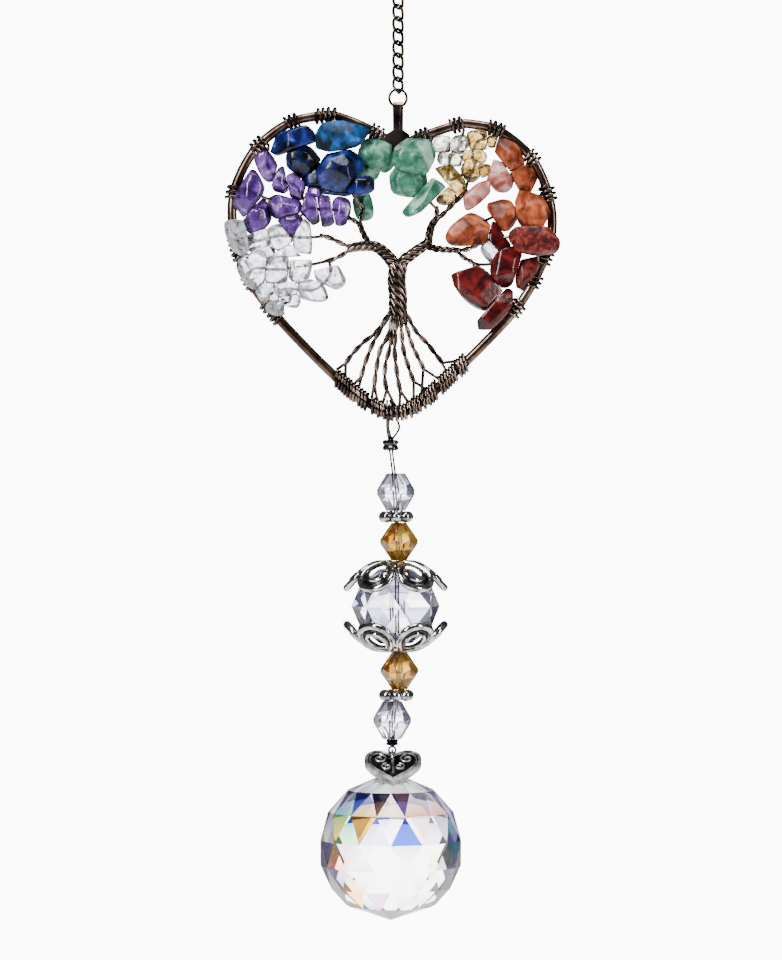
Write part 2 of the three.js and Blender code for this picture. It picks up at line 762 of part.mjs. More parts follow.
const CHIPS = {
  lapis_chip_left: { L1: chip([-21.6, 1, -0.8], 9.4, 4.6, 20) },
  lapis_chip_middle: {
    L2: chip([-19.7, -2.9, 0.4], 7.2, 5.8, -40),
    L5: chip([-16.8, -6.2, 1.4], 6.4, 5, -30),
  },
  lapis_chip_top: { L3: chip([-11.4, 1.9, -2.7], 10.8, 5.6, 12, -0.3) },
  lapis_chips_front: {
    L4: chip([-11.8, -5.2, -2.5], 8.4, 7.6, 60),
    L6: chip([-7.7, -8.4, -3.2], 5.2, 3.4, 15),
    L7: chip([-12.6, -9.3, -1], 6.4, 2.8, -5),
  },
  aventurine_chips_dip: {
    G1: chip([-4.3, -1.8, -0.4], 6.8, 5.8, -20),
    G2: chip([-6.6, -4.9, 1.4], 5.6, 4.8, 70),
  },
  aventurine_chip_branch: { G3: chip([-7.2, -12, 2.3], 5.4, 3.6, 100) },
  aventurine_chips_right: {
    G4: chip([3.3, -2.4, -1.6], 7.9, 7, 0),
    G5: chip([1.9, -6.9, 0], 7.2, 5.8, -10),
  },
  aventurine_chip_long: { G6: chip([5.6, -10.4, -0.8], 9.8, 3.8, 40, 0.25) },
  amethyst_chips_high: {
    A1: chip([-27.1, -3.8, 0], 6.2, 3.6, -65),
    A3: chip([-24.2, -6.9, 0.3], 5.2, 3.6, 100),
    A4: chip([-20.9, -8.6, -0.3], 5.8, 4, -60),
  },
  amethyst_chips_outer: {
    A2: chip([-30.4, -9.4, -0.9], 9.8, 4.4, 68, -0.25),
    A6: chip([-29.2, -14.3, 0.6], 6.8, 5, 50),
  },
  amethyst_chips_middle: {
    A5: chip([-23.6, -12.4, 0.2], 6.2, 4.8, -15),
    A7: chip([-22.1, -15.6, -0.6], 5.2, 4.2, -30),
  },
  amethyst_chips_inner: {
    A8: chip([-18.3, -12.6, -0.6], 7.6, 3.8, -75),
    A11: chip([-17.2, -9.4, 0.6], 3.2, 2.4, -20),
    A9: chip([-15, -12.8, 0], 7.2, 3.4, -80),
    A10: chip([-11.9, -13.3, -0.2], 5.2, 3.6, 80),
  },
  quartz_chip_frame: { Q1: chip([-33.1, -18.9, -3], 7.7, 3.6, -75, -0.2) },
  quartz_chips_high: {
    Q2: chip([-28.6, -19.4, 0], 5.4, 4.2, 20),
    Q3: chip([-24.8, -18.4, 0.3], 5.4, 4.4, -50),
    Q5: chip([-27.8, -21.9, 0.8], 4.8, 3.6, -20),
  },
  quartz_chips_tall: {
    Q4: chip([-19.7, -18.8, -0.6], 9, 3.2, 88, -0.3),
    Q8: chip([-20.3, -24.8, 0.4], 6.6, 4.2, 80),
    Q9: chip([-22.3, -22.5, 0.8], 5.4, 4.2, 0),
  },
  quartz_chips_low: {
    Q6: chip([-29.4, -25.4, -2.4], 6.8, 6, -60),
    Q7: chip([-25.4, -25.5, -1], 6.4, 5.2, 85),
  },
  quartz_chips_edge: {
    Q10: chip([-23.2, -29.5, -0.8], 5.6, 4, 10),
    Q11: chip([-22.3, -31.6, -0.2], 4, 2.8, -15),
    Q12: chip([-26.4, -30.7, -2.2], 5.6, 4, -50),
    Q13: chip([-25.4, -33.4, -2.9], 3.4, 3, 0),
  },
  quartz_chips_inner: {
    Q14: chip([-17.6, -29.5, 0], 6.2, 4.2, -20, -0.2),
    Q15: chip([-14.1, -26.7, 0.3], 6, 4.6, -25),
  },
  citrine_chips_left: {
    C1: chip([9, 0.3, 0], 4.4, 3.6, 0),
    C2: chip([12.7, 0.4, -0.3], 4.2, 3.6, 10),
    C5: chip([10.8, -2.6, -0.4], 5, 3.6, -5),
    C9: chip([10.8, -6.6, 0], 7.2, 4, -48),
    C10: chip([10, -10, 1], 4, 3.4, 0),
  },
  citrine_chips_right: {
    C3: chip([16.5, 1.2, 0.2], 4.6, 4, 0),
    C4: chip([19.5, 1.2, 0.1], 3, 2.4, 0),
    C6: chip([15.6, -1.9, 0.4], 4.8, 3.4, 0),
    C7: chip([15.2, -4.7, -0.3], 4.6, 4, 60),
    C8: chip([17.8, -4.9, 0.4], 3, 2.6, 0),
  },
  carnelian_chips_high: {
    O1: chip([23, -1.7, -0.5], 7.8, 4.2, -62),
    O2: chip([21.2, -6, 0.3], 6.2, 5, -50),
    O3: chip([25.9, -6.3, 0.5], 5.8, 4.6, -60),
  },
  carnelian_chips_outer: {
    O4: chip([27.3, -12.8, -0.6], 9.6, 6, -60),
    O8: chip([29.6, -12, 0.9], 3.4, 2.4, -70),
  },
  carnelian_chip_inner: { O5: chip([21.7, -13.7, 0], 6.4, 4.8, -60) },
  carnelian_chip_narrow: { O6: chip([16.3, -9.9, -1.2], 7.2, 3, 42) },
  carnelian_chip_pointed: { O7: chip([14.5, -17.4, -0.9], 8.4, 5.4, 22, 0.35) },
  jasper_chip_frame: { R1: chip([27.9, -19.4, -3], 9.4, 5.4, -10) },
  jasper_chips_middle: {
    R2: chip([20.5, -18.8, -0.3], 6, 3.8, -55),
    R3: chip([22.3, -24.4, -0.9], 8.4, 5, 72),
    R7: chip([19.4, -22, 0.9], 4.6, 2.8, -50),
  },
  jasper_chip_triangle: { R4: chip([26.3, -26.5, -0.2], 7.6, 3.6, 68, 0.35) },
  jasper_chip_broad: { R5: chip([16.3, -28.9, -0.3], 9.8, 6.4, -38) },
  jasper_chip_low: { R6: chip([19.9, -34, -0.9], 9.6, 4.2, 48) },
};

const chipByName = Object.assign({}, ...Object.values(CHIPS));
const CHIP_POINTS = 10;

// Repeatable random numbers between 0 and 1, as a function to call.
function randomFrom(seed) {
  let state = seed * 7919 + 17;
  return () => {
    state = (state * 48271) % 2147483647;
    return state / 2147483647;
  };
}

// Corners spread evenly over a ball, pushed out towards a box and roughened.
function roughCorners(random) {
  const corners = [];
  for (let i = 0; i < CHIP_POINTS; i++) {
    const height = 1 - (2 * i + 1) / CHIP_POINTS;
    const angle = i * Math.PI * (3 - Math.sqrt(5)) + random();
    const ring = Math.sqrt(1 - height * height);
    const corner = new THREE.Vector3(height, ring * Math.cos(angle), ring * Math.sin(angle));
    const boxy = corner.toArray().reduce((sum, part) => sum + Math.abs(part) ** 3, 0);
    corners.push(corner.multiplyScalar((0.82 + 0.18 * random()) / Math.cbrt(boxy)));
  }
  return corners;
}

function chipBody({ place, length, width, turn, taper }, seed) {
  const corners = roughCorners(randomFrom(seed));
  const box = new THREE.Box3().setFromPoints(corners);
  const middle = box.getCenter(new THREE.Vector3());
  const reach = box.getSize(new THREE.Vector3());
  const thickness = (0.65 * width + 0.9) * SQUARE;
  const size = new THREE.Vector3(length * SQUARE, thickness, width * SQUARE).divide(reach);
  const spin = new THREE.Matrix4().makeRotationY(-THREE.MathUtils.degToRad(turn));
  for (const corner of corners) {
    corner.sub(middle);
    const narrowing = 1 + (2 * taper * corner.x) / reach.x;
    corner.multiply(size);
    corner.z *= narrowing;
    corner.applyMatrix4(spin).add(at(...place));
  }
  return hullOf(corners);
}

function cornersOf(body) {
  const { vertProperties, numProp } = body.getMesh();
  const corners = [];
  for (let i = 0; i < vertProperties.length; i += numProp) {
    corners.push(new THREE.Vector3().fromArray(vertProperties, i));
  }
  return corners;
}

// The direction along which two chips run into each other least, and the middle of that overlap.
function leastOverlap(first, second, directions) {
  let least = { overlap: Infinity };
  for (const direction of directions) {
    const far = Math.max(...first.map((corner) => corner.dot(direction)));
    const near = Math.min(...second.map((corner) => corner.dot(direction)));
    if (far - near < least.overlap) {
      least = { overlap: far - near, direction, middle: (far + near) / 2 };
    }
  }
  return least;
}

// Directions to try for the plane between two chips, all pointing from the first to the second.
function planeDirections(one, other) {
  const towards = at(...other.place).sub(at(...one.place));
  const directions = [towards.clone().normalize(), new THREE.Vector3(0, 1, 0)];
  for (const { turn } of [one, other]) {
    for (const extra of [0, 45, 90, 135]) {
      const angle = THREE.MathUtils.degToRad(turn + extra);
      directions.push(new THREE.Vector3(Math.cos(angle), 0, Math.sin(angle)));
    }
  }
  for (const direction of directions) {
    if (direction.dot(towards) < 0) direction.negate();
  }
  return directions;
}

// Parts two chips that meet: each keeps to its side of a plane, with a gap between them.
function part(bodies, one, other) {
  const directions = planeDirections(chipByName[one], chipByName[other]);
  const least = leastOverlap(cornersOf(bodies[one]), cornersOf(bodies[other]), directions);
  if (least.overlap < -GAP) return;
  const { direction, middle } = least;
  const back = direction.clone().negate().toArray();
  bodies[one] = bodies[one].trimByPlane(back, GAP / 2 - middle);
  bodies[other] = bodies[other].trimByPlane(direction.toArray(), middle + GAP / 2);
}

function partedChips() {
  const names = Object.keys(chipByName);
  const nodeOf = {};
  for (const [node, chips] of Object.entries(CHIPS)) {
    for (const name of Object.keys(chips)) nodeOf[name] = node;
  }
  const bodies = {};
  names.forEach((name, i) => (bodies[name] = chipBody(chipByName[name], i + 1)));
  names.forEach((one, i) => {
    for (const other of names.slice(i + 1)) {
      if (nodeOf[one] !== nodeOf[other]) part(bodies, one, other);
    }
  });
  return bodies;
}

// Gem wires: single wires that run on from a branch through the chips, and end in a wrap.
// Each starts at a place on the grid or in a chip.
const GEM_WIRES = {
  wire_lapis: [
    { from: [-8.5, -10.9, -0.3], through: ["L4", "L3"], wrap: "lobeCrown" },
    { from: [-8.5, -10.9, -0.3], through: ["L4", "L5", "L2", "L1"], wrap: "leftCrown" },
    { from: [-8.5, -10.9, -0.3], through: ["G3", "G2", "G1"], wrap: "dipLeft" },
  ],
  wire_amethyst: [
    {
      from: [-10.6, -14.6],
      through: ["A10", "A9", "A8", "A4", "A3", "A1"],
      wrap: "leftShoulder",
    },
    { from: "A8", through: ["A7", "A5", "A2"], wrap: "leftHigh" },
  ],
  wire_quartz_upper: [
    { from: [-16.8, -18.1], through: ["Q4", "Q3", "Q2"], wrap: "leftMiddle" },
    { from: "Q2", through: ["Q1"], wrap: "leftMiddle" },
  ],
  wire_quartz_lower: [
    { from: [-15.7, -23.6], through: ["Q8", "Q7", "Q6"], wrap: "leftLow" },
    { from: [-15.7, -23.6], through: ["Q15", "Q14", "Q10", "Q12"], wrap: "leftLower" },
    { from: "Q10", through: ["Q11", "Q13"], wrap: "leftLowest" },
  ],
  wire_aventurine: [{ from: [8, -11.5], through: ["G6", "G5", "G4"], wrap: "dipRight" }],
  wire_citrine: [
    { from: [14.8, -8.3], through: ["C7", "C6", "C3"], wrap: "rightShoulder" },
    { from: "C7", through: ["C9", "C5", "C2"], wrap: "rightCrown" },
    { from: [14.8, -9.4], through: ["O6", "O2", "O3"], wrap: "rightHigh" },
    { from: "O2", through: ["O1"], wrap: "rightShoulder" },
  ],
  wire_carnelian: [
    { from: [16.7, -20.1], through: ["O7", "O5", "O4"], wrap: "rightMiddle" },
    { from: [16.7, -20.1], through: ["R2", "R1"], wrap: "rightLow" },
  ],
  wire_jasper: [
    { from: [15.8, -24], through: ["R3", "R4"], wrap: "rightLower" },
    { from: [15.8, -24], through: ["R5", "R6"], wrap: "rightLowest" },
  ],
};

const wirePlace = (stop) => at(...(Array.isArray(stop) ? stop : chipByName[stop].place));

function gemWireCurve({ from, through, wrap }) {
  const stops = [from, ...through].map(wirePlace);
  const end = inSleeveWall(WRAPS[wrap].middle, stops.at(-1));
  return curveThrough([...stops, end]);
}

function gemWire(route, spare = 0) {
  const steps = 2 * route.through.length;
  return rodAlong(gemWireCurve(route), TREE_WIRE / 2 + spare, 4, steps);
}

function wrapNames(routes) {
  return [...new Set(routes.map((route) => route.wrap))];
}

for (const [name, routes] of Object.entries(GEM_WIRES)) {
  const wires = routes.map((route) => gemWire(route));
  const sleeves = wrapNames(routes).map(wrapSleeve);
  addPiece(name, joined([...wires, ...sleeves]), "copper");
}

// The room that metal takes in and near the chips: bores, and notches where a chip meets a rod.
function metalRoom() {
  const routes = Object.values(GEM_WIRES).flat();
  return joined([
    frameRod(GAP),
    ...Object.values(LIMBS).map((shape) => limb(shape, GAP)),
    ...routes.map((route) => gemWire(route, BORE_GAP)),
    ...wrapNames(routes).map(wrapRoom),
    bailClamp(),
  ]);
}

function addChips() {
  const bodies = partedChips();
  const room = metalRoom();
  for (const [node, chips] of Object.entries(CHIPS)) {
    const whole = joined(Object.keys(chips).map((name) => bodies[name]));
    addPiece(node, largest(whole.subtract(room)), node.split("_")[0]);
  }
}

addChips();

// Strand: beads threaded one below another, from the top. The strand hangs a little unevenly, so
// each piece has its own small sway to the side.

const SWAY = {
  crimp: -1.55,
  clearUpper: -0.45,
  spacerUpper: -0.4,
  amberUpper: 0.2,
  crystal: -0.5,
  amberLower: 0.3,
  spacerLower: -0.35,
  clearLower: -1.2,
  lowerCrimp: -1.2,
  charm: -1.03,
  ball: -1.5,
};

const tipRod = at(0, HEART_OUTLINE[13][1]);
const crimpMiddle = tipRod.z - CRIMP_DROP;
let level = tipRod.z - STRAND_LENGTH;

// The middle height of the next bead of the given height.
function threaded(height) {
  const middle = level - height / 2;
  level -= height + GAP;
  return middle;
}

const place = {
  clearUpper: threaded(BICONE_HEIGHT),
  spacerUpper: threaded(SPACER_HEIGHT),
  amberUpper: threaded(BICONE_HEIGHT),
  crownUpper: threaded(CROWN_HEIGHT),
  crystal: threaded(CRYSTAL_HEIGHT),
  crownLower: threaded(CROWN_HEIGHT),
  amberLower: threaded(BICONE_HEIGHT),
  spacerLower: threaded(SPACER_HEIGHT),
  clearLower: threaded(BICONE_HEIGHT),
  lowerCrimp: threaded(LOWER_CRIMP_HEIGHT),
};

// Strand wire: a loop over the frame at the heart's tip, a core through every bead and an eye.

const eyeInsideTop = level - LOOP_WIRE;
const eyeInsideBottom = eyeInsideTop - (EYE_WIDTH - 2 * LOOP_WIRE);

const coreTop = crimpMiddle + CRIMP_HEIGHT / 2 + GAP + LOOP_WIRE;
const onAxis = (sway, height, depth = 0) => new THREE.Vector3(sway, depth, height);
const coreCurve = curveThrough([
  onAxis(SWAY.crimp, coreTop),
  onAxis(SWAY.crimp, crimpMiddle),
  onAxis(SWAY.clearUpper, place.clearUpper),
  onAxis(SWAY.spacerUpper, place.spacerUpper),
  onAxis(SWAY.amberUpper, place.amberUpper),
  onAxis(SWAY.crystal, place.crystal),
  onAxis(SWAY.amberLower, place.amberLower),
  onAxis(SWAY.spacerLower, place.spacerLower),
  onAxis(SWAY.clearLower, place.clearLower),
  onAxis(SWAY.lowerCrimp, place.lowerCrimp),
  onAxis(SWAY.lowerCrimp, eyeInsideTop + LOOP_WIRE / 2),
]);
const strandCore = (spare) => rodAlong(coreCurve, STRAND_WIRE / 2 + spare, 5, 14);

// The loop over the tip runs down from the top of the rod, in front and behind, to the crimp.
function tipLoop() {
  const across = LOOP_ACROSS * SQUARE;
  const middle = heartCurve.getPointAt(lowerFrameAt(LOOP_ACROSS));
  const reach = insideFlat + TREE_WIRE + 2 * GAP + LOOP_WIRE;
  const points = [
    onAxis(SWAY.crimp - LOOP_WIRE / 4, coreTop, 0),
    onAxis(across, middle.z - 1.5 * reach, -0.5 * reach),
    onAxis(across, middle.z, -reach),
    onAxis(across, middle.z + reach, 0),
    onAxis(across + 0.4 * reach, middle.z, reach),
    onAxis(across + 0.9 * reach, middle.z - reach, 0.7 * reach),
    onAxis(across + 0.7 * reach, middle.z - 1.6 * reach, 0.3 * reach),
    onAxis(SWAY.crimp + LOOP_WIRE / 2, coreTop, 0),
  ];
  return rodAlong(curveThrough(points), LOOP_WIRE / 2, 5, 18);
}

const eye = wireRing(eyeInsideTop, SWAY.lowerCrimp, EYE_WIDTH, LOOP_WIRE, false, 5, 10);
addPiece("strand_wire", joined([tipLoop(), strandCore(0), eye]), "silver");

// Threads a bead: puts it in its place and cuts its bore along the strand wire.
const boreRoom = strandCore(BORE_GAP);

function addBead(name, geometryOrBody, sway, height, finishName) {
  const body = geometryOrBody.isBufferGeometry ? solid(geometryOrBody) : geometryOrBody;
  const placed = body.translate([sway, 0, height]);
  addPiece(name, largest(placed.subtract(boreRoom)), finishName);
}

// A crimp: a squeezed tube with a rolled rim at each end.
function crimp(width, height) {
  const waist = 0.36 * width;
  return turned(
    [
      [STRAND_WIRE / 4, height / 2],
      [STRAND_WIRE / 4, -height / 2],
      [width / 2, -height / 2],
      [width / 2, -height / 6],
      [waist, 0],
      [width / 2, height / 6],
      [width / 2, height / 2],
    ],
    8,
  );
}

// A bicone: two cut cones base to base, with the belt's corners between those of the ends.
function bicone() {
  return hullOf([
    ...ringOfPoints(BICONE_END / 2, BICONE_HEIGHT / 2, BICONE_SIDES, 0),
    ...ringOfPoints(BICONE_WIDTH / 2, 0, BICONE_SIDES, 0.5),
    ...ringOfPoints(BICONE_END / 2, -BICONE_HEIGHT / 2, BICONE_SIDES, 0),
  ]);
}

// A daisy spacer: a ring of small balls, drawn as a disc with a lobe for each.
function spacer() {
  const half = SPACER_HEIGHT / 2;
  const waist = SPACER_WIDTH / 2 - half;
  const disc = turned(
    [
      [STRAND_WIRE / 4, half / 2],
      [STRAND_WIRE / 4, -half / 2],
      [waist, -half],
      [SPACER_WIDTH / 2, 0],
      [waist, half],
    ],
    2 * SPACER_BALLS,
  );
  return reshaped(disc, (corner) => {
    const angle = Math.atan2(corner.y, corner.x);
    const between = Math.abs(Math.round((angle * SPACER_BALLS) / Math.PI)) % 2;
    const outer = corner.length() > waist;
    const share = between && outer ? 0.84 : 1;
    return new THREE.Vector3(corner.x * share, corner.y * share, corner.z * share);
  });
}

// The round crystal: staggered rings of corners on a dome that two flat ends cut off.
const domeHalf = CRYSTAL_HEIGHT / 2 / Math.sqrt(1 - CRYSTAL_END_SHARE ** 2);

function roundCrystal() {
  const rings = [-1, -0.6, 0, 0.6, 1];
  return hullOf(
    rings.flatMap((share, i) => {
      const height = (share * CRYSTAL_HEIGHT) / 2;
      const radius = (CRYSTAL_WIDTH / 2) * Math.sqrt(1 - (height / domeHalf) ** 2);
      return ringOfPoints(radius, height, CRYSTAL_SIDES, (i % 2) / 2);
    }),
  );
}

// A bead cap: a crown ring with open looped petals that follow the crystal's dome.
function beadCap() {
  const seat = CROWN_HEIGHT / 2 + GAP + CRYSTAL_HEIGHT / 2; // crystal's middle below the crown's
  const lift = GAP + CAP_BAND / 2;
  const domed = (polar, azimuth, flare) => {
    const radius = (CRYSTAL_WIDTH / 2 + lift + flare) * Math.sin(polar);
    const height = (domeHalf + lift + flare) * Math.cos(polar) - seat;
    return new THREE.Vector3(radius * Math.cos(azimuth), radius * Math.sin(azimuth), height);
  };
  const inner = 0.3;
  const outer = 1.22;
  const middlePolar = (inner + outer) / 2;
  const petals = [];
  for (let i = 0; i < CAP_PETALS; i++) {
    const azimuth = (2 * Math.PI * (i + 0.5)) / CAP_PETALS + Math.PI / 2;
    const halfWidth = (0.8 * Math.PI) / CAP_PETALS;
    const path = (angle) => {
      const share = 0.5 + 0.5 * Math.cos(angle);
      const polar = middlePolar + ((outer - inner) / 2) * Math.cos(angle);
      return domed(polar, azimuth + halfWidth * Math.sin(angle), CAP_FLARE * share * share);
    };
    const centre = domed(middlePolar, azimuth, 0);
    petals.push(loopAlong(path, centre, CAP_BAND / 2, CAP_BAND / 2, 4, 8));
  }
  const crownHalf = CROWN_HEIGHT / 2;
  const crown = turned(
    [
      [STRAND_WIRE / 4, crownHalf],
      [STRAND_WIRE / 4, -crownHalf],
      [CROWN_WIDTH / 2, -crownHalf],
      [CROWN_WIDTH / 2, crownHalf],
    ],
    12,
  );
  return joined([solid(crown), ...petals]);
}

addBead("crimp_upper", crimp(CRIMP_WIDTH, CRIMP_HEIGHT), SWAY.crimp, crimpMiddle, "silver");
addBead("clear_bicone_upper", bicone(), SWAY.clearUpper, place.clearUpper, "crystal");
addBead("spacer_upper", spacer(), SWAY.spacerUpper, place.spacerUpper, "silver");
addBead("amber_bicone_upper", bicone(), SWAY.amberUpper, place.amberUpper, "amber");
addBead("bead_cap_upper", beadCap(), SWAY.crystal, place.crownUpper, "silver");
addBead("round_crystal", roundCrystal(), SWAY.crystal, place.crystal, "crystal");
addBead(
  "bead_cap_lower",
  beadCap().rotate([180, 0, 0]),
  SWAY.crystal,
  place.crownLower,
  "silver",
);
addBead("amber_bicone_lower", bicone(), SWAY.amberLower, place.amberLower, "amber");
addBead("spacer_lower", spacer(), SWAY.spacerLower, place.spacerLower, "silver");
addBead("clear_bicone_lower", bicone(), SWAY.clearLower, place.clearLower, "crystal");
addBead(
  "crimp_lower",
  crimp(LOWER_CRIMP_WIDTH, LOWER_CRIMP_HEIGHT),
  SWAY.lowerCrimp,
  place.lowerCrimp,
  "silver",
);

// Link ring: it hangs in the strand's eye and carries the ball and the charm.

const linkInsideTop = eyeInsideBottom + GAP;
const linkInsideBottom = linkInsideTop - (LINK_RING_WIDTH - 2 * LINK_RING_WIRE);
const linkMiddle = (linkInsideTop + linkInsideBottom) / 2;

const linkRing = (spare) =>
  wireRing(
    linkInsideTop - spare,
    SWAY.lowerCrimp,
    LINK_RING_WIDTH + 2 * spare,
    LINK_RING_WIRE + 2 * spare,
    true,
    5,
    12,
  );
addPiece("link_ring", linkRing(0), "silver");

// Crystal ball: staggered rings of corners on a sphere, down to a point at each pole.

const ballEyeInsideTop = linkInsideBottom + GAP;
const ballEyeBottom = ballEyeInsideTop - (BALL_EYE_WIDTH - BALL_EYE_WIRE);
const ballMiddle = ballEyeBottom - GAP - BALL_WIDTH / 2;

function crystalBall() {
  const corners = [];
  const latitudes = [-50, -28, 0, 28, 50];
  latitudes.forEach((degrees, i) => {
    const latitude = THREE.MathUtils.degToRad(degrees);
    const radius = (BALL_WIDTH / 2) * Math.cos(latitude);
    const height = (BALL_WIDTH / 2) * Math.sin(latitude);
    corners.push(...ringOfPoints(radius, height, BALL_SIDES, (i % 2) / 2));
  });
  for (const pole of [-1, 1]) {
    corners.push(new THREE.Vector3(0, 0, (pole * BALL_WIDTH) / 2));
  }
  return hullOf(corners).translate([SWAY.ball, 0, ballMiddle]);
}

// Ball eye: a pin set in the ball's top, with an eye that hangs on the link ring.
const pinMiddle = ballEyeBottom + BALL_EYE_WIRE / 2 - BALL_PIN_DEPTH / 2;

function ballPin(spare) {
  const radius = BALL_EYE_WIRE / 2 + spare;
  const pin = new THREE.CylinderGeometry(radius, radius, BALL_PIN_DEPTH + 2 * spare, 6);
  return solid(pin.rotateX(Math.PI / 2).translate(SWAY.ball, 0, pinMiddle));
}

const ballEye = (spare) =>
  wireRing(
    ballEyeInsideTop - spare,
    SWAY.ball,
    BALL_EYE_WIDTH + 2 * spare,
    BALL_EYE_WIRE + 2 * spare,
    false,
    5,
    10,
  );
addPiece("ball_eye", ballEye(0).add(ballPin(0)), "silver");
addPiece("crystal_ball", crystalBall().subtract(ballPin(BORE_GAP)), "crystal");

// Heart charm: a small cast heart with a raised rim and a sunk face. It hangs on the link ring by
// its dip and leans on the ball.

function heartShape(width) {
  const heart = new THREE.Shape();
  heart.moveTo(0, 0);
  const bend = (...shares) => heart.bezierCurveTo(...shares.map((share) => share * width));
  bend(0.12, 0.2, 0.5, 0.22, 0.5, -0.1);
  bend(0.5, -0.38, 0.16, -0.6, 0, -0.76);
  bend(-0.16, -0.6, -0.5, -0.38, -0.5, -0.1);
  bend(-0.5, 0.22, -0.12, 0.2, 0, 0);
  return heart;
}

function heartSlab(width, thickness) {
  const options = { depth: thickness, bevelEnabled: false, curveSegments: 4 };
  return new THREE.ExtrudeGeometry(heartShape(width), options);
}

function heartCharm() {
  const slab = solid(heartSlab(CHARM_WIDTH, CHARM_WALL).translate(0, 0, -CHARM_WALL));
  const recessWidth = CHARM_WIDTH - 2.4 * CHARM_RIM;
  const recess = heartSlab(recessWidth, 2 * CHARM_RECESS);
  recess.translate(0, -1.3 * CHARM_RIM, -CHARM_RECESS);
  const tilted = slab.subtract(solid(recess)).rotate([THREE.MathUtils.radToDeg(CHARM_TILT), 0, 0]);
  return tilted.translate([SWAY.charm, CHARM_BACK, linkMiddle + CHARM_LIFT]);
}

const ballRoom = solid(
  new THREE.SphereGeometry(BALL_WIDTH / 2 + GAP, 24, 16).translate(SWAY.ball, 0, ballMiddle),
);
const ringRoom = linkRing(BORE_GAP).add(ballEye(BORE_GAP));
const charm = heartCharm().subtract(ringRoom).subtract(ballRoom);
addPiece("heart_charm", largest(charm), "silver");

export default suncatcher;
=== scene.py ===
# %% [markdown]
# # Crystal suncatcher
# A heart of copper rod holds a twisted wire tree whose branches are threaded with tumbled gem
# chips. Below the heart hangs a strand of cut beads, and at its end a faceted crystal ball.
# Shapes are drawn in millimetres, and a piece is scaled to metres as it is placed.

import math
import random
from collections import namedtuple

import bmesh
import bpy
from mathutils import Matrix, Vector


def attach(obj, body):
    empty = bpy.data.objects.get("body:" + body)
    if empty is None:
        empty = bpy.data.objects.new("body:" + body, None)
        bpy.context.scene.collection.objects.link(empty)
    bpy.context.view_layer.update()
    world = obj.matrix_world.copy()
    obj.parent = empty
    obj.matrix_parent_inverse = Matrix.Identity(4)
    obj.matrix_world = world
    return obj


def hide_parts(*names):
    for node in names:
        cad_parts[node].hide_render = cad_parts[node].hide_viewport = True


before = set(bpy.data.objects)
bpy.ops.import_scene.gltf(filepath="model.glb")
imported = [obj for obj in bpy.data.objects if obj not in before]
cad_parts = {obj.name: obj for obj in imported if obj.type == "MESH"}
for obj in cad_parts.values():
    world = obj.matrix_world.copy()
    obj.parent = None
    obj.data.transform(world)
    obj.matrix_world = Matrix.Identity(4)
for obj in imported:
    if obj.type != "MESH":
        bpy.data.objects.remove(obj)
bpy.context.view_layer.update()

# %% [markdown]
# ## The grid
# The heart is drawn on a grid of millimetres whose zero is the dip between its lobes. Across
# runs to the right, up runs upwards, and depth is negative towards the viewer. The same grid
# serves the rod, the tree and the chips, so that wires end where the chips are.

# %% Grid and sizes
MM = 0.001
DIP = -40.04  # height of the heart's dip below the hook
ROD = 1.0  # radius of the heart's rod
WIRE = 0.33  # radius of the tree's wire
CRISP_ANGLE = 0.55  # radians; where a crisp piece bends more, its edge stays sharp


def at(across, up, depth=0.0):
    return Vector((across, depth, DIP + up))


# %% [markdown]
# ## Smooth paths
# Wire never bends at a corner. A Catmull-Rom curve passes through every point it is given, so
# a few places on the grid are enough to draw a branch. Spacing the result evenly keeps a
# helix that is wound on it regular.

# %% Paths
def smooth_path(points, pieces=12):
    ends = [2 * points[0] - points[1], *points, 2 * points[-1] - points[-2]]
    path = []
    for i in range(len(points) - 1):
        a, b, c, d = ends[i : i + 4]
        for step in range(pieces):
            t = step / pieces
            place = 2 * b + t * (c - a)
            place += t * t * (2 * a - 5 * b + 4 * c - d)
            place += t * t * t * (3 * b - 3 * c + d - a)
            path.append(place / 2)
    return path + [points[-1]]


def spaced(path, count):
    """The same path with its points at even steps."""
    run = [0.0]
    for a, b in zip(path, path[1:]):
        run.append(run[-1] + (b - a).length)
    even, k = [], 0
    for i in range(count):
        reach = run[-1] * i / (count - 1)
        while k < len(path) - 2 and run[k + 1] < reach:
            k += 1
        part = (reach - run[k]) / max(run[k + 1] - run[k], 1e-9)
        even.append(path[k].lerp(path[k + 1], part))
    return even


def length_of(path):
    return sum((b - a).length for a, b in zip(path, path[1:]))


# %% [markdown]
# ## Wire
# A curve with a round bevel is the quickest wire in Blender: it needs only its middle line and
# a radius. It is turned into a mesh at once, so that its place is kept in its points.

# %% Wire from paths
def linked(name, data):
    made = bpy.data.objects.new(name, data)
    bpy.context.scene.collection.objects.link(made)
    return made


def mesh_of(data, *modifiers):
    """The mesh of a curve, or of a mesh after its modifiers."""
    holder = linked("holder", data)
    for kind, settings in modifiers:
        modifier = holder.modifiers.new(kind, kind)
        for key, value in settings.items():
            setattr(modifier, key, value)
    shown = bpy.context.evaluated_depsgraph_get()
    made = bpy.data.meshes.new_from_object(holder.evaluated_get(shown))
    bpy.data.objects.remove(holder)
    return made


def wires(paths, radius, closed=False, roundness=3, swell=None):
    """Round wires on paths; swell gives the share of the radius at each part of the way."""
    curve = bpy.data.curves.new("wire", "CURVE")
    curve.dimensions = "3D"
    curve.bevel_depth = radius
    curve.bevel_resolution = roundness
    curve.use_fill_caps = True
    for path in paths:
        spline = curve.splines.new("POLY")
        spline.points.add(len(path) - 1)
        for i, (point, place) in enumerate(zip(spline.points, path)):
            point.co = (*place, 1)
            point.radius = swell(i / len(path)) if swell else 1
        spline.use_cyclic_u = closed
    return mesh_of(curve)


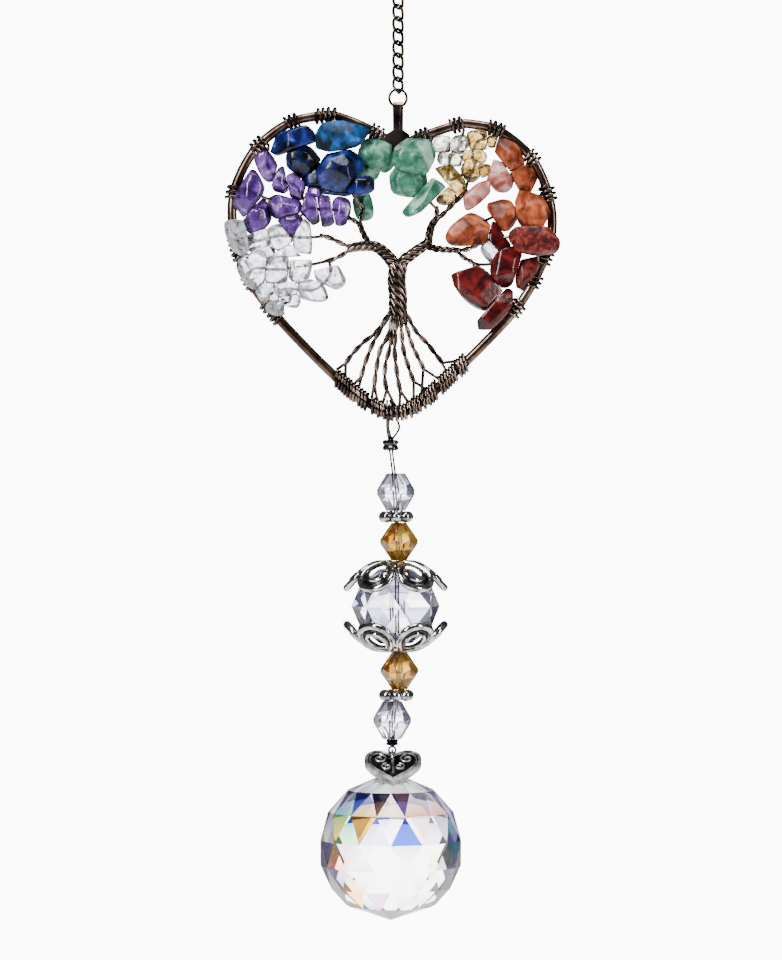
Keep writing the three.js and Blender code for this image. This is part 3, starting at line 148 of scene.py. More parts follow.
# %% [markdown]
# ## Placing a piece
# A piece may gather several meshes. It takes its finish, is shaded smooth unless it is cut in
# facets, rides on the frame and stands in for the solids that it dresses. Some shapes start as
# a copy of a solid, whose sharp edges are then rounded.

# %% Pieces
MATERIALS = {}


def gathered(meshes):
    bm = bmesh.new()
    for mesh in meshes:
        bm.from_mesh(mesh)
    return bm


def as_mesh(bm, name="part"):
    mesh = bpy.data.meshes.new(name)
    bm.to_mesh(mesh)
    bm.free()
    return mesh


def place(name, source, material, slot, solids, flat=False, crisp=False):
    bm = source if isinstance(source, bmesh.types.BMesh) else gathered(source)
    bmesh.ops.scale(bm, vec=(MM, MM, MM), verts=bm.verts)
    for face in bm.faces:
        face.smooth = not flat
    if crisp:
        for edge in bm.edges:
            edge.smooth = edge.calc_face_angle(0) < CRISP_ANGLE
    mesh = as_mesh(bm, name)
    mesh.materials.append(MATERIALS[material])
    piece = linked(name, mesh)
    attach(piece, "root")
    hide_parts(*solids)
    print(f"{name}: {material}, {len(mesh.polygons)} faces")


def solid_copy(node):
    """A merged copy of a solid, in millimetres."""
    bm = bmesh.new()
    bm.from_mesh(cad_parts[node].data)
    bmesh.ops.scale(bm, vec=(1 / MM, 1 / MM, 1 / MM), verts=bm.verts)
    bmesh.ops.remove_doubles(bm, verts=bm.verts, dist=0.002)
    bmesh.ops.dissolve_limit(bm, angle_limit=0.02, verts=bm.verts, edges=bm.edges)
    return bm


def softened(bm, width, segments=2):
    """Rounds the sharp edges of a closed shape."""
    sharp = [e for e in bm.edges if len(e.link_faces) == 2 and e.calc_face_angle(0) > 0.3]
    bmesh.ops.bevel(
        bm, geom=sharp, offset=width, segments=segments, profile=0.5, affect="EDGES",
        material=-1, clamp_overlap=True, offset_type="OFFSET",
    )
    return bm


# %% [markdown]
# ## Metal finishes
# The metals are plated and then antiqued: a dark wash stays in the grooves and is polished off
# the high spots. A slow noise varies the wash between three shades, and all the rest is
# reflection. The rod is fresh copper and the thin wires an older one. What lies deep between
# wires, and on the rod under the wraps, is painted shade in dark copper. The chain is bronze, the
# strand steel. Caps and spacers are bright silver over dark silver, which paints their blackened
# recesses and the shade in them, and the cast heart is satin silver.

# %% Node helpers
def new_material(name):
    material = bpy.data.materials.new(name)
    material.use_nodes = True
    shader = material.node_tree.nodes["Principled BSDF"]
    MATERIALS[name] = material
    return material.node_tree, shader


def give(shader, **values):
    """Sets constants on the shader's own sockets."""
    for key, value in values.items():
        shader.inputs[key.replace("_", " ")].default_value = value


def node(tree, kind, settings=None, **inputs):
    """A new node; an input may be a constant or another node's output."""
    made = tree.nodes.new(kind)
    for key, value in (settings or {}).items():
        setattr(made, key, value)
    for key, value in inputs.items():
        socket = made.inputs[key.replace("_", " ")]
        if isinstance(value, bpy.types.NodeSocket):
            tree.links.new(value, socket)
        else:
            socket.default_value = value
    return made


def noise(tree, size, detail=4.0, offset=(0, 0, 0), **more):
    """A noise whose features are about size millimetres across."""
    coordinates = node(tree, "ShaderNodeTexCoord").outputs["Object"]
    moved = node(tree, "ShaderNodeMapping", Vector=coordinates, Location=offset)
    return node(
        tree, "ShaderNodeTexNoise", Vector=moved.outputs[0], Scale=1 / (size * MM),
        Detail=detail, **more,
    ).outputs["Fac"]


def ramp(tree, value, *stops):
    made = node(tree, "ShaderNodeValToRGB", Fac=value)
    stretch = made.color_ramp
    while len(stretch.elements) < len(stops):
        stretch.elements.new(0.5)
    for element, (position, colour) in zip(stretch.elements, stops):
        element.position = position
        element.color = (*colour, 1)
    return made.outputs["Color"]


def bump(tree, shader, height, strength, distance):
    made = node(
        tree, "ShaderNodeBump", Height=height, Strength=strength, Distance=distance * MM,
    )
    tree.links.new(made.outputs[0], shader.inputs["Normal"])


# %% Metals
def metal(name, dark, middle, bright, roughness, grain):
    tree, shader = new_material(name)
    patches = noise(tree, grain, 5.0)
    base = ramp(tree, patches, (0.36, dark), (0.52, middle), (0.68, bright))
    tree.links.new(base, shader.inputs["Base Color"])
    give(shader, Metallic=1, Roughness=roughness)
    bump(tree, shader, noise(tree, 0.8, 3.0), 0.06, 0.04)


metal("copper", (0.05, 0.029, 0.022), (0.14, 0.085, 0.066), (0.36, 0.235, 0.185), 0.24, 4.5)
metal("old_copper", (0.024, 0.017, 0.014), (0.1, 0.072, 0.06), (0.32, 0.24, 0.2), 0.1, 4.5)
# Painted shade: near-black copper laid in the gaps between strands and on the rod under the
# wraps.
metal("painted_shade_copper", (0.01, 0.007, 0.006), (0.025, 0.017, 0.014), (0.06, 0.042, 0.036), 0.4, 2.0)
metal("bronze", (0.006, 0.005, 0.004), (0.022, 0.019, 0.012), (0.08, 0.07, 0.045), 0.1, 1.6)
metal("silver", (0.14, 0.13, 0.13), (0.5, 0.48, 0.47), (0.95, 0.93, 0.92), 0.1, 2.0)
metal("satin_silver", (0.3, 0.29, 0.29), (0.62, 0.6, 0.6), (0.95, 0.93, 0.92), 0.34, 2.0)
metal("steel", (0.02, 0.02, 0.021), (0.07, 0.07, 0.073), (0.22, 0.22, 0.22), 0.12, 1.5)
# Dark silver paints blackened recesses and the shade in them: spacer webs, cap grooves, the
# charm's sunk face.
metal("patina_and_shade_silver", (0.006, 0.005, 0.005), (0.022, 0.02, 0.02), (0.1, 0.09, 0.09), 0.3, 1.2)
print("metals:", sorted(MATERIALS))

# %% [markdown]
# ## Stones
# Tumbled chips are polished, but worn stones such as pale lapis and carnelian shine less, so
# each stone has its own gloss. Lapis and jasper are opaque: their colour is a noise between
# three or four shades. The others let a part of the light through, tinted by the same noise,
# whose dark stops stand for veils and flaws. A fine bump breaks the reflections.

# %% Stone finishes
def stone_finish(name, stops, see_through, grain=2.2, roughness=0.2, glow=0.0, offset=0.0,
                 skin=0.35, gloss=0.5):
    tree, shader = new_material(name)
    clouds = noise(tree, grain, 6.0, (offset * MM, 0, offset * MM), Distortion=0.6)
    tree.links.new(ramp(tree, clouds, *stops), shader.inputs["Base Color"])
    give(shader, Roughness=roughness, IOR=1.54, Specular_IOR_Level=gloss,
         Transmission_Weight=see_through)
    if glow:
        give(shader, Subsurface_Weight=glow, Subsurface_Radius=(0.6, 0.6, 0.6),
             Subsurface_Scale=0.002)
    bump(tree, shader, noise(tree, 1.0, 4.0, (0, offset * MM, 0)), skin, 0.14)


stone_finish(
    "lapis",
    [(0.4, (0.0006, 0.0007, 0.003)), (0.51, (0.003, 0.007, 0.055)),
     (0.63, (0.014, 0.026, 0.18)), (0.77, (0.15, 0.18, 0.48))],
    0, 3.4, 0.24, gloss=0.3,
)
stone_finish(
    "lapis_pale",
    [(0.36, (0.005, 0.008, 0.012)), (0.49, (0.004, 0.026, 0.075)),
     (0.62, (0.008, 0.07, 0.24)), (0.78, (0.1, 0.22, 0.4))],
    0, 2.6, 0.36, offset=9, skin=0.5, gloss=0.08,
)
stone_finish(
    "aventurine",
    [(0.34, (0.015, 0.075, 0.045)), (0.5, (0.045, 0.17, 0.11)), (0.7, (0.2, 0.42, 0.3))],
    0.15, 2.2, 0.22, 0.3, gloss=0.2,
)
stone_finish(
    "amethyst",
    [(0.34, (0.01, 0.002, 0.026)), (0.48, (0.04, 0.012, 0.1)), (0.61, (0.14, 0.065, 0.25)),
     (0.75, (0.58, 0.46, 0.68))],
    0.5, 3.2, 0.16,
)
stone_finish(
    "quartz",
    [(0.34, (0.08, 0.08, 0.095)), (0.42, (0.36, 0.36, 0.42)), (0.52, (0.66, 0.66, 0.73)),
     (0.66, (0.97, 0.97, 1))],
    0.64, 1.2, 0.07, skin=0.6,
)
stone_finish(
    "citrine_clear",
    [(0.36, (0.05, 0.05, 0.045)), (0.47, (0.24, 0.235, 0.19)), (0.62, (0.85, 0.84, 0.76))],
    0.7, 1.3, 0.05, skin=0.6,
)
stone_finish(
    "citrine",
    [(0.34, (0.06, 0.028, 0.004)), (0.46, (0.24, 0.14, 0.024)), (0.58, (0.5, 0.36, 0.12)),
     (0.72, (0.92, 0.84, 0.6))],
    0.7, 1.3, 0.05, skin=0.6,
)
stone_finish(
    "carnelian",
    [(0.34, (0.05, 0.01, 0.004)), (0.47, (0.19, 0.036, 0.012)), (0.6, (0.4, 0.09, 0.035)),
     (0.8, (0.62, 0.26, 0.15))],
    0.12, 2.8, 0.28, 0.15, gloss=0.1,
)
stone_finish(
    "carnelian_pale",
    [(0.34, (0.2, 0.045, 0.03)), (0.5, (0.42, 0.15, 0.12)), (0.7, (0.75, 0.55, 0.52))],
    0.2, 2.4, gloss=0.2,
)
stone_finish(
    "jasper",
    [(0.36, (0.012, 0.0008, 0.001)), (0.5, (0.05, 0.0025, 0.003)),
     (0.66, (0.14, 0.009, 0.009)), (0.8, (0.3, 0.05, 0.04))],
    0, 2.8, gloss=0.35,
)
stone_finish(
    "jasper_matt",
    [(0.38, (0.025, 0.002, 0.003)), (0.53, (0.1, 0.01, 0.009)), (0.72, (0.24, 0.04, 0.03))],
    0, 1.3, 0.36, offset=4, skin=0.9, gloss=0.25,
)
print("finishes:", len(MATERIALS))


# %% [markdown]
# ## The heart's rod
# One rod, 2 mm thick, is bent into a heart whose ends meet in the dip. It could be bent piece
# by piece, but one smooth path with a round section has no seams. Its places are the solid's.

# %% Heart outline
HEART = [
    (-0.95, 0.35), (-5, 3.2), (-11.9, 6.1), (-15.5, 6.5), (-22.6, 4.9), (-29.2, -0.1),
    (-33, -6.5), (-34.3, -12), (-33.7, -19.2), (-30.7, -27.5), (-24.8, -35.4), (-13.4, -47.1),
    (-5.4, -53.4), (0, -55), (4.6, -52.9), (9.9, -48.3), (18.1, -40.4), (25.4, -32.2),
    (30.3, -23.1), (31.9, -16.3), (30.9, -9.2), (27.5, -2.1), (21.2, 3.2), (15.3, 4.7),
    (12.1, 4.5), (4.8, 2.1), (0.95, 0.35),
]
heart_path = spaced(smooth_path([at(*place) for place in HEART]), 601)
heart_length = length_of(heart_path)
place("heart_rod", [wires([heart_path[::2]], ROD, roundness=6)], "copper", "copper",
      ["heart_frame"])
print("rod length in mm:", round(heart_length, 1))

# %% [markdown]
# ## Wraps
# A branch ends in a few close turns round the rod. The turns are a helix on the rod's own path:
# at each step the rod's direction gives an outward and a sideways arrow, and the wire circles
# between them. Under each wrap lies a thin dark sleeve on the rod, which is painted shade between
# the turns.

# %% Helix round the rod
COIL_STEPS = 18  # points in one turn


def on_rod(reach):
    """The rod's middle, its direction and its outward arrow at a length from its start."""
    share = min(max(reach / heart_length, 0), 1) * (len(heart_path) - 1)
    low = min(int(share), len(heart_path) - 2)
    middle = heart_path[low].lerp(heart_path[low + 1], share - low)
    ahead = (heart_path[low + 1] - heart_path[low]).normalized()
    return middle, ahead, Vector((ahead.z, 0, -ahead.x))


def nearest_on_rod(point):
    best = min(range(len(heart_path)), key=lambda i: (heart_path[i] - point).length)
    return best * heart_length / (len(heart_path) - 1)


def coil(start, end, turns, phase, lift, upright=0.0):
    """Turns round the rod, lift clear of it; upright leans them from square to plumb."""
    radius = ROD + WIRE + lift
    path = []
    count = max(int(turns * COIL_STEPS), 4)
    for i in range(count + 1):
        part = i / count
        middle, ahead, outward = on_rod(start + (end - start) * part)
        outward = outward - upright * ahead.z * ahead
        angle = phase + 2 * math.pi * turns * part
        path.append(
            middle + radius * (math.cos(angle) * outward + math.sin(angle) * Vector((0, 1, 0)))
        )
    return path


def rod_between(start, end):
    """The rod's middle line between two lengths, for the sleeve of painted shade under a wrap."""
    steps = max(int((end - start) * 3), 4)
    return [on_rod(start + (end - start) * i / steps)[0] for i in range(steps + 1)]


# %% [markdown]
# ## Twisted limbs
# The trunk is a bundle of wires, which part into limbs and then into branches of two or three.
# One ribbed bar would be simpler, but here each wire is its own helix round the bundle's route,
# so light catches every strand. A dark core in the middle of a thick bundle is painted shade,
# which darkens the gaps between its strands.

# %% Bundles
def bundle(route, count, widths, turns, gauge=WIRE):
    path = smooth_path([at(*stop) for stop in route])
    steps = max(int(length_of(path) * 4), 12)
    path = spaced(path, steps + 1)
    strands = []
    for k in range(count):
        strand = []
        for i, middle in enumerate(path):
            part = i / steps
            ahead = (path[min(i + 1, steps)] - path[max(i - 1, 0)]).normalized()
            across = ahead.cross(Vector((0, 1, 0))).normalized()
            depth = across.cross(ahead)
            reach = (widths[0] + (widths[1] - widths[0]) * part) / 2 - gauge
            angle = 2 * math.pi * (k / count + turns * part)
            strand.append(middle + reach * (math.cos(angle) * across + math.sin(angle) * depth))
        strands.append(strand)
    return strands


# A dark core of painted shade, which shows in the gaps between a bundle's strands.
def core(route, widths):
    path = smooth_path([at(*stop) for stop in route])
    start, end = (max(width / 2 - 1.6 * WIRE, 0.05) for width in widths)
    return wires([path], start, swell=lambda part: 1 + (end / start - 1) * part)


LIMBS = [
    # route, number of wires, widths at the start and end, turns
    ([(0.2, -23.8), (-0.3, -27.5), (0, -31), (-0.1, -34.8)], 7, (3.9, 4.0), 1.0),
    ([(0, -27), (-1, -24), (-4.1, -20.9), (-7.2, -20.5), (-10.3, -21)], 6, (3.1, 2.0), 1.7),
    ([(0.2, -27), (0.8, -24), (2.9, -22.2), (5, -20.7), (6.6, -19.8)], 5, (2.8, 2.2), -1.4),
    ([(-5.6, -20.8), (-6.4, -19.3), (-7.4, -17.4), (-7.9, -15.8)], 3, (1.5, 1.35), 1.4),
    ([(-7.8, -16.4), (-8.9, -15.3), (-10.1, -14.8)], 2, (1.2, 1.15), 0.9),
    ([(-7.9, -16.4), (-7.7, -14.7), (-7.3, -13), (-8.2, -11.6)], 2, (1.2, 1.15), 1.2),
    ([(-9.6, -20.9), (-11.8, -19.9), (-14.1, -18.8), (-16.2, -18.2)], 2, (1.2, 1.15), 1.4),
    ([(-9.6, -21), (-12, -22.6), (-13.9, -23.4), (-15.2, -23.6)], 2, (1.2, 1.15), 1.3),
    ([(6.1, -20.6), (6.5, -18), (7, -16.2), (7.9, -14.9)], 4, (2.0, 1.6), 1.2),
    ([(7.7, -15.4), (8, -13.7), (8.1, -12.2)], 2, (1.2, 1.15), 0.8),
    ([(7.6, -15.4), (8.7, -14.5), (11, -12.2), (13.4, -9.9), (14.3, -8.8)], 2, (1.2, 1.15), 2.1),
    ([(6, -20.3), (7.2, -20.9), (9.3, -21.2), (12.6, -21.4)], 3, (1.7, 1.4), 1.6),
    ([(12.2, -21.4), (14.2, -21.2), (16.2, -20.4)], 2, (1.2, 1.15), 1.0),
    ([(12.2, -21.4), (13.4, -22.7), (15.3, -23.8)], 2, (1.2, 1.15), 1.0),
]
tree_meshes, shade_cores = [], []
for route, count, widths, turns in LIMBS:
    gauge = WIRE + 0.05 if count > 3 else WIRE
    tree_meshes.append(wires(bundle(route, count, widths, turns, gauge), gauge))
    if count > 3:
        shade_cores.append(core(route, widths))
# The cores are painted shade: dark copper in the middle of the thick bundles.
place("wire_tree_shade_core", shade_cores, "painted_shade_copper", "copper", ["wire_tree"])
print("limbs:", len(LIMBS))

# %% [markdown]
# ## Roots
# Eight pairs of wires fan out from the foot of the trunk. Each pair is twisted, parts just
# above the rod, and each of its wires ends in its own close turns round the heart's tip. They
# are wound by hand and stand nearly plumb, whichever way the rod runs.

# %% Roots and the wraps at the tip
ROOTS = [
    # the two places where the wires land, then the route of the pair
    ((-12.9, -11.3), [(-1.2, -33.4), (-4.3, -38.1), (-7, -40.3), (-9.5, -42.9), (-10.9, -44.9)]),
    ((-9.3, -8.3), [(-1, -33.4), (-4.4, -39.1), (-5.7, -41.8), (-7, -45.3), (-7.7, -47.8)]),
    ((-5.6, -4.3), [(-0.7, -33.4), (-2.1, -39.1), (-3.7, -42), (-4.6, -46.8), (-4.9, -49.4)]),
    ((-3.1, -0.7), [(-0.4, -33.4), (-1.6, -41), (-2.6, -44.9), (-2.7, -48.4), (-2.3, -50.3)]),
    ((0.3, 2.4), [(0, -33.4), (-0.7, -41.2), (-0.4, -45.3), (0.1, -48.8), (0.5, -50.6)]),
    ((3.5, 6.1), [(0.4, -33.4), (1, -41.2), (2.1, -45.3), (2.9, -47.6), (3.3, -48.6)]),
    ((5, 8.6), [(0.7, -33.4), (2.6, -40.1), (3.9, -43.1), (4.9, -45), (5.3, -46)]),
    ((10.2, 12.6), [(1.1, -33.4), (3.7, -38.1), (6, -40.6), (8.1, -43.3), (9.2, -44.7)]),
]


def under(across):
    """The length along the rod where its lower half crosses an upright line of the grid."""
    low = [i for i, place in enumerate(heart_path) if place.z < DIP - 40]
    best = min(low, key=lambda i: abs(heart_path[i].x - across))
    return best * heart_length / (len(heart_path) - 1)


TURN_PITCH = 0.8  # from one turn to the next
root_meshes = []
landings = sorted(under(across) for ends, _ in ROOTS for across in ends)
for ends, route in ROOTS:
    for k, strand in enumerate(bundle(route, 2, (1.15, 1.15), 2.7)):
        reach = under(ends[k])
        room = [landing - reach for landing in landings if landing > reach + 0.5] + [2.2]
        width = min(room[0], 2.6) - 0.15
        turns = width / TURN_PITCH
        turn = coil(reach, reach + width, turns, math.pi - 0.5, 0.2 + 0.1 * k, 0.9)
        between = strand[-1].lerp(turn[0], 0.6) + Vector((0, -0.2, 0))
        joined = smooth_path([strand[-1], between, turn[0]], pieces=5)
        root_meshes.append(wires([strand + joined[1:] + turn[1:]], WIRE))
place("wire_tree_bundle", tree_meshes + root_meshes, "old_copper", "copper", ["wire_tree"])
# The rod under the roots' wraps at the tip gets a dark sleeve of painted shade.
painted_shade_sleeves = [rod_between(landings[0] - 0.4, landings[-1] + 2.4)]


# %% [markdown]
# ## Gem chips
# A tumbled chip starts as a broken stone and is rolled until its edges are round. It is made
# the same way: a ball is pushed towards a box, cut by a few planes, and then rebuilt on a fine
# grid of voxels and smoothed, which rounds what the planes left. A chip that is only scaled
# from one model would look cast. Each gets its own chance numbers, so all differ.

# %% Table of chips
# Each chip: across, up and depth on the grid, length, width and turn in degrees. A taper may
# follow, and then a finish if it isn't the one that the piece is named after.
CHIP_TABLE = {
    "lapis_chip_left": [(-21.6, 1, -0.8, 9.4, 4.6, 20)],
    "lapis_chip_middle": [(-19.7, -2.9, 0.4, 7.2, 5.8, -40), (-16.8, -6.2, 1.4, 6.4, 5, -30)],
    "lapis_chip_top": [(-11.4, 1.9, -2.7, 10.8, 5.6, 12, -0.3, "lapis_pale")],
    "lapis_chips_front": [
        (-11.8, -5.2, -2.5, 8.4, 7.6, 60), (-7.7, -8.4, -3.2, 5.2, 3.4, 15),
        (-12.6, -9.3, -1, 6.4, 2.8, -5),
    ],
    "aventurine_chips_dip": [(-4.3, -1.8, -0.4, 6.8, 5.8, -20), (-6.6, -4.9, 1.4, 5.6, 4.8, 70)],
    "aventurine_chip_branch": [(-7.2, -12, 2.3, 5.4, 3.6, 100)],
    "aventurine_chips_right": [(3.3, -2.4, -1.6, 7.9, 7, 0), (1.9, -6.9, 0, 7.2, 5.8, -10)],
    "aventurine_chip_long": [(5.6, -10.4, -0.8, 9.8, 3.8, 40, 0.25)],
    "amethyst_chips_high": [
        (-27.1, -3.8, 0, 6.2, 3.6, -65), (-24.2, -6.9, 0.3, 5.2, 3.6, 100),
        (-20.9, -8.6, -0.3, 5.8, 4, -60),
    ],
    "amethyst_chips_outer": [
        (-30.4, -9.4, -0.9, 9.8, 4.4, 68, -0.25), (-29.2, -14.3, 0.6, 6.8, 5, 50),
    ],
    "amethyst_chips_middle": [
        (-23.6, -12.4, 0.2, 6.2, 4.8, -15), (-22.1, -15.6, -0.6, 5.2, 4.2, -30),
    ],
    "amethyst_chips_inner": [
        (-18.3, -12.6, -0.6, 7.6, 3.8, -75), (-17.2, -9.4, 0.6, 3.2, 2.4, -20),
        (-15, -12.8, 0, 7.2, 3.4, -80), (-11.9, -13.3, -0.2, 5.2, 3.6, 80),
    ],
    "quartz_chip_frame": [(-33.1, -18.9, -3, 7.7, 3.6, -75, -0.2)],
    "quartz_chips_high": [
        (-28.6, -19.4, 0, 5.4, 4.2, 20), (-24.8, -18.4, 0.3, 5.4, 4.4, -50),
        (-27.8, -21.9, 0.8, 4.8, 3.6, -20),
    ],
    "quartz_chips_tall": [
        (-19.7, -18.8, -0.6, 9, 3.2, 88, -0.3), (-20.3, -24.8, 0.4, 6.6, 4.2, 80),
        (-22.3, -22.5, 0.8, 5.4, 4.2, 0),
    ],
    "quartz_chips_low": [(-29.4, -25.4, -2.4, 6.8, 6, -60), (-25.4, -25.5, -1, 6.4, 5.2, 85)],
    "quartz_chips_edge": [
        (-23.2, -29.5, -0.8, 5.6, 4, 10), (-22.3, -31.6, -0.2, 4, 2.8, -15),
        (-26.4, -30.7, -2.2, 5.6, 4, -50), (-25.4, -33.4, -2.9, 3.4, 3, 0),
    ],
    "quartz_chips_inner": [
        (-17.6, -29.5, 0, 6.2, 4.2, -20, -0.2), (-14.1, -26.7, 0.3, 6, 4.6, -25),
    ],
    "citrine_chips_left": [
        (9, 0.3, 0, 4.4, 3.6, 0, 0, "citrine_clear"),
        (12.7, 0.4, -0.3, 4.2, 3.6, 10, 0, "citrine_clear"),
        (10.8, -2.6, -0.4, 5, 3.6, -5, 0, "citrine_clear"), (10.8, -6.6, 0, 7.2, 4, -48),
        (10, -10, 1, 4, 3.4, 0),
    ],
    "citrine_chips_right": [
        (16.5, 1.2, 0.2, 4.6, 4, 0), (19.5, 1.2, 0.1, 3, 2.4, 0), (15.6, -1.9, 0.4, 4.8, 3.4, 0),
        (15.2, -4.7, -0.3, 4.6, 4, 60), (17.8, -4.9, 0.4, 3, 2.6, 0),
    ],
    "carnelian_chips_high": [
        (23, -1.7, -0.5, 7.8, 4.2, -62), (21.2, -6, 0.3, 6.2, 5, -50, 0, "carnelian_pale"),
        (25.9, -6.3, 0.5, 5.8, 4.6, -60),
    ],
    "carnelian_chips_outer": [(27.3, -12.8, -0.6, 9.6, 6, -60), (29.6, -12, 0.9, 3.4, 2.4, -70)],
    "carnelian_chip_inner": [(21.7, -13.7, 0, 6.4, 4.8, -60)],
    "carnelian_chip_narrow": [(16.3, -9.9, -1.2, 7.2, 3, 42, 0, "carnelian_pale")],
    "carnelian_chip_pointed": [(14.5, -17.4, -0.9, 8.4, 5.4, 22, 0.35)],
    "jasper_chip_frame": [(27.9, -19.4, -3, 9.4, 5.4, -10, 0, "jasper_matt")],
    "jasper_chips_middle": [
        (20.5, -18.8, -0.3, 6, 3.8, -55), (22.3, -24.4, -0.9, 8.4, 5, 72),
        (19.4, -22, 0.9, 4.6, 2.8, -50, 0, "quartz"),
    ],
    "jasper_chip_triangle": [(26.3, -26.5, -0.2, 7.6, 3.6, 68, 0.35, "jasper_matt")],
    "jasper_chip_broad": [(16.3, -28.9, -0.3, 9.8, 6.4, -38)],
    "jasper_chip_low": [(19.9, -34, -0.9, 9.6, 4.2, 48)],
}
Chip = namedtuple("Chip", "spot length width turn taper finish")
CHIPS = {}
for name, rows in CHIP_TABLE.items():
    CHIPS[name] = []
    for across, up, depth, length, width, turn, *more in rows:
        taper, finish = more if len(more) == 2 else (*(more or [0]), name.split("_")[0])
        CHIPS[name].append(Chip((across, up, depth), length, width, turn, taper, finish))
print("chips:", sum(len(chips) for chips in CHIPS.values()))


# %% A rough stone
BOXY = 2.8  # 2 leaves a ball round, a large number makes a box
CUTS = 11


def rough_stone(chip, seed):
    chance = random.Random(seed)
    bm = bmesh.new()
    bmesh.ops.create_icosphere(bm, subdivisions=3, radius=1)
    thick = 0.65 * chip.width + 0.9
    half = Vector((chip.length / 2, thick / 2, chip.width / 2)) * 1.2
    for vert in bm.verts:
        vert.co = vert.co / sum(abs(n) ** BOXY for n in vert.co) ** (1 / BOXY) * half
    for _ in range(CUTS):
        way = Vector((chance.gauss(0, 1), chance.gauss(-0.5, 1), chance.gauss(0, 1))).normalized()
        reach = max(vert.co.dot(way) for vert in bm.verts)
        side = abs(way.x) > 0.9 or abs(way.z) > 0.9
        cut = reach * (0.95 if side else chance.uniform(0.68, 0.88))
        trim(bm, way * cut, way)
    for vert in bm.verts:
        vert.co.z *= 1 + chip.taper * vert.co.x / half.x
    bmesh.ops.rotate(bm, matrix=Matrix.Rotation(-math.radians(chip.turn), 3, "Y"), verts=bm.verts)
    bmesh.ops.translate(bm, vec=at(*chip.spot), verts=bm.verts)
    return bm


def trim(bm, point, way):
    """Cuts away what lies beyond a plane and closes the cut."""
    parts = bm.verts[:] + bm.edges[:] + bm.faces[:]
    result = bmesh.ops.bisect_plane(
        bm, geom=parts, dist=1e-5, plane_co=point, plane_no=way, clear_outer=True,
    )
    rim = [part for part in result["geom_cut"] if isinstance(part, bmesh.types.BMEdge)]
    if rim:
        bmesh.ops.edgeloop_fill(bm, edges=rim)


# %% [markdown]
# ## Chips that meet
# Threaded chips press against each other and touch in small flats. For every pair that might
# touch, several directions are tried for a plane between them, and the one along which they
# overlap least is kept. Both are cut back to it, with a small gap, before they are rounded.

# %% Part the chips
def part_chips(one, other, chip, other_chip):
    towards = at(*other_chip.spot) - at(*chip.spot)
    if towards.length > (chip.length + other_chip.length) / 2 + 1:
        return
    ways = [towards.normalized(), Vector((0, 1, 0))]
    for turn in (chip.turn, other_chip.turn):
        for extra in (0, 45, 90, 135):
            angle = math.radians(turn + extra)
            ways.append(Vector((math.cos(angle), 0, math.sin(angle))))
    best = None
    for way in ways:
        way = -way if way.dot(towards) < 0 else way
        far = max(vert.co.dot(way) for vert in one.verts)
        near = min(vert.co.dot(way) for vert in other.verts)
        if best is None or far - near < best[0]:
            best = (far - near, way, (far + near) / 2)
    overlap, way, middle = best
    if overlap > -0.1:
        trim(one, way * (middle - 0.02), way)
        trim(other, way * (middle + 0.02), -way)


FIRST_SEED = 11
stones = []
for name, chips in CHIPS.items():
    for chip in chips:
        stones.append((name, chip, rough_stone(chip, len(stones) + FIRST_SEED)))
for i, (_, chip, bm) in enumerate(stones):
    for _, other_chip, other in stones[i + 1 :]:
        part_chips(bm, other, chip, other_chip)
print("stones:", len(stones))


# %% Tumble and place the chips
def tumbled(bm):
    bmesh.ops.triangulate(bm, faces=bm.faces)
    return mesh_of(
        as_mesh(bm, "rough"),
        ("REMESH", {"mode": "VOXEL", "voxel_size": 0.2}),
        ("SMOOTH", {"factor": 0.5, "iterations": 7}),
    )


chip_pieces = {}
for name, chip, bm in stones:
    chip_pieces.setdefault((name, chip.finish), []).append(tumbled(bm))
for (name, finish), meshes in chip_pieces.items():
    ending = "tumbled" if finish == CHIPS[name][0].finish else finish
    place(f"{name}_{ending}", meshes, finish, name.split("_")[0], [name])
print("chip pieces:", len(chip_pieces))

# %% [markdown]
# ## Gem wires
# From the end of each branch single wires run on through the drilled chips, and each ends in a
# wrap round the rod. A wire is one path, the chips' middles and then the coil, so that it
# can't break between a chip and its wrap.

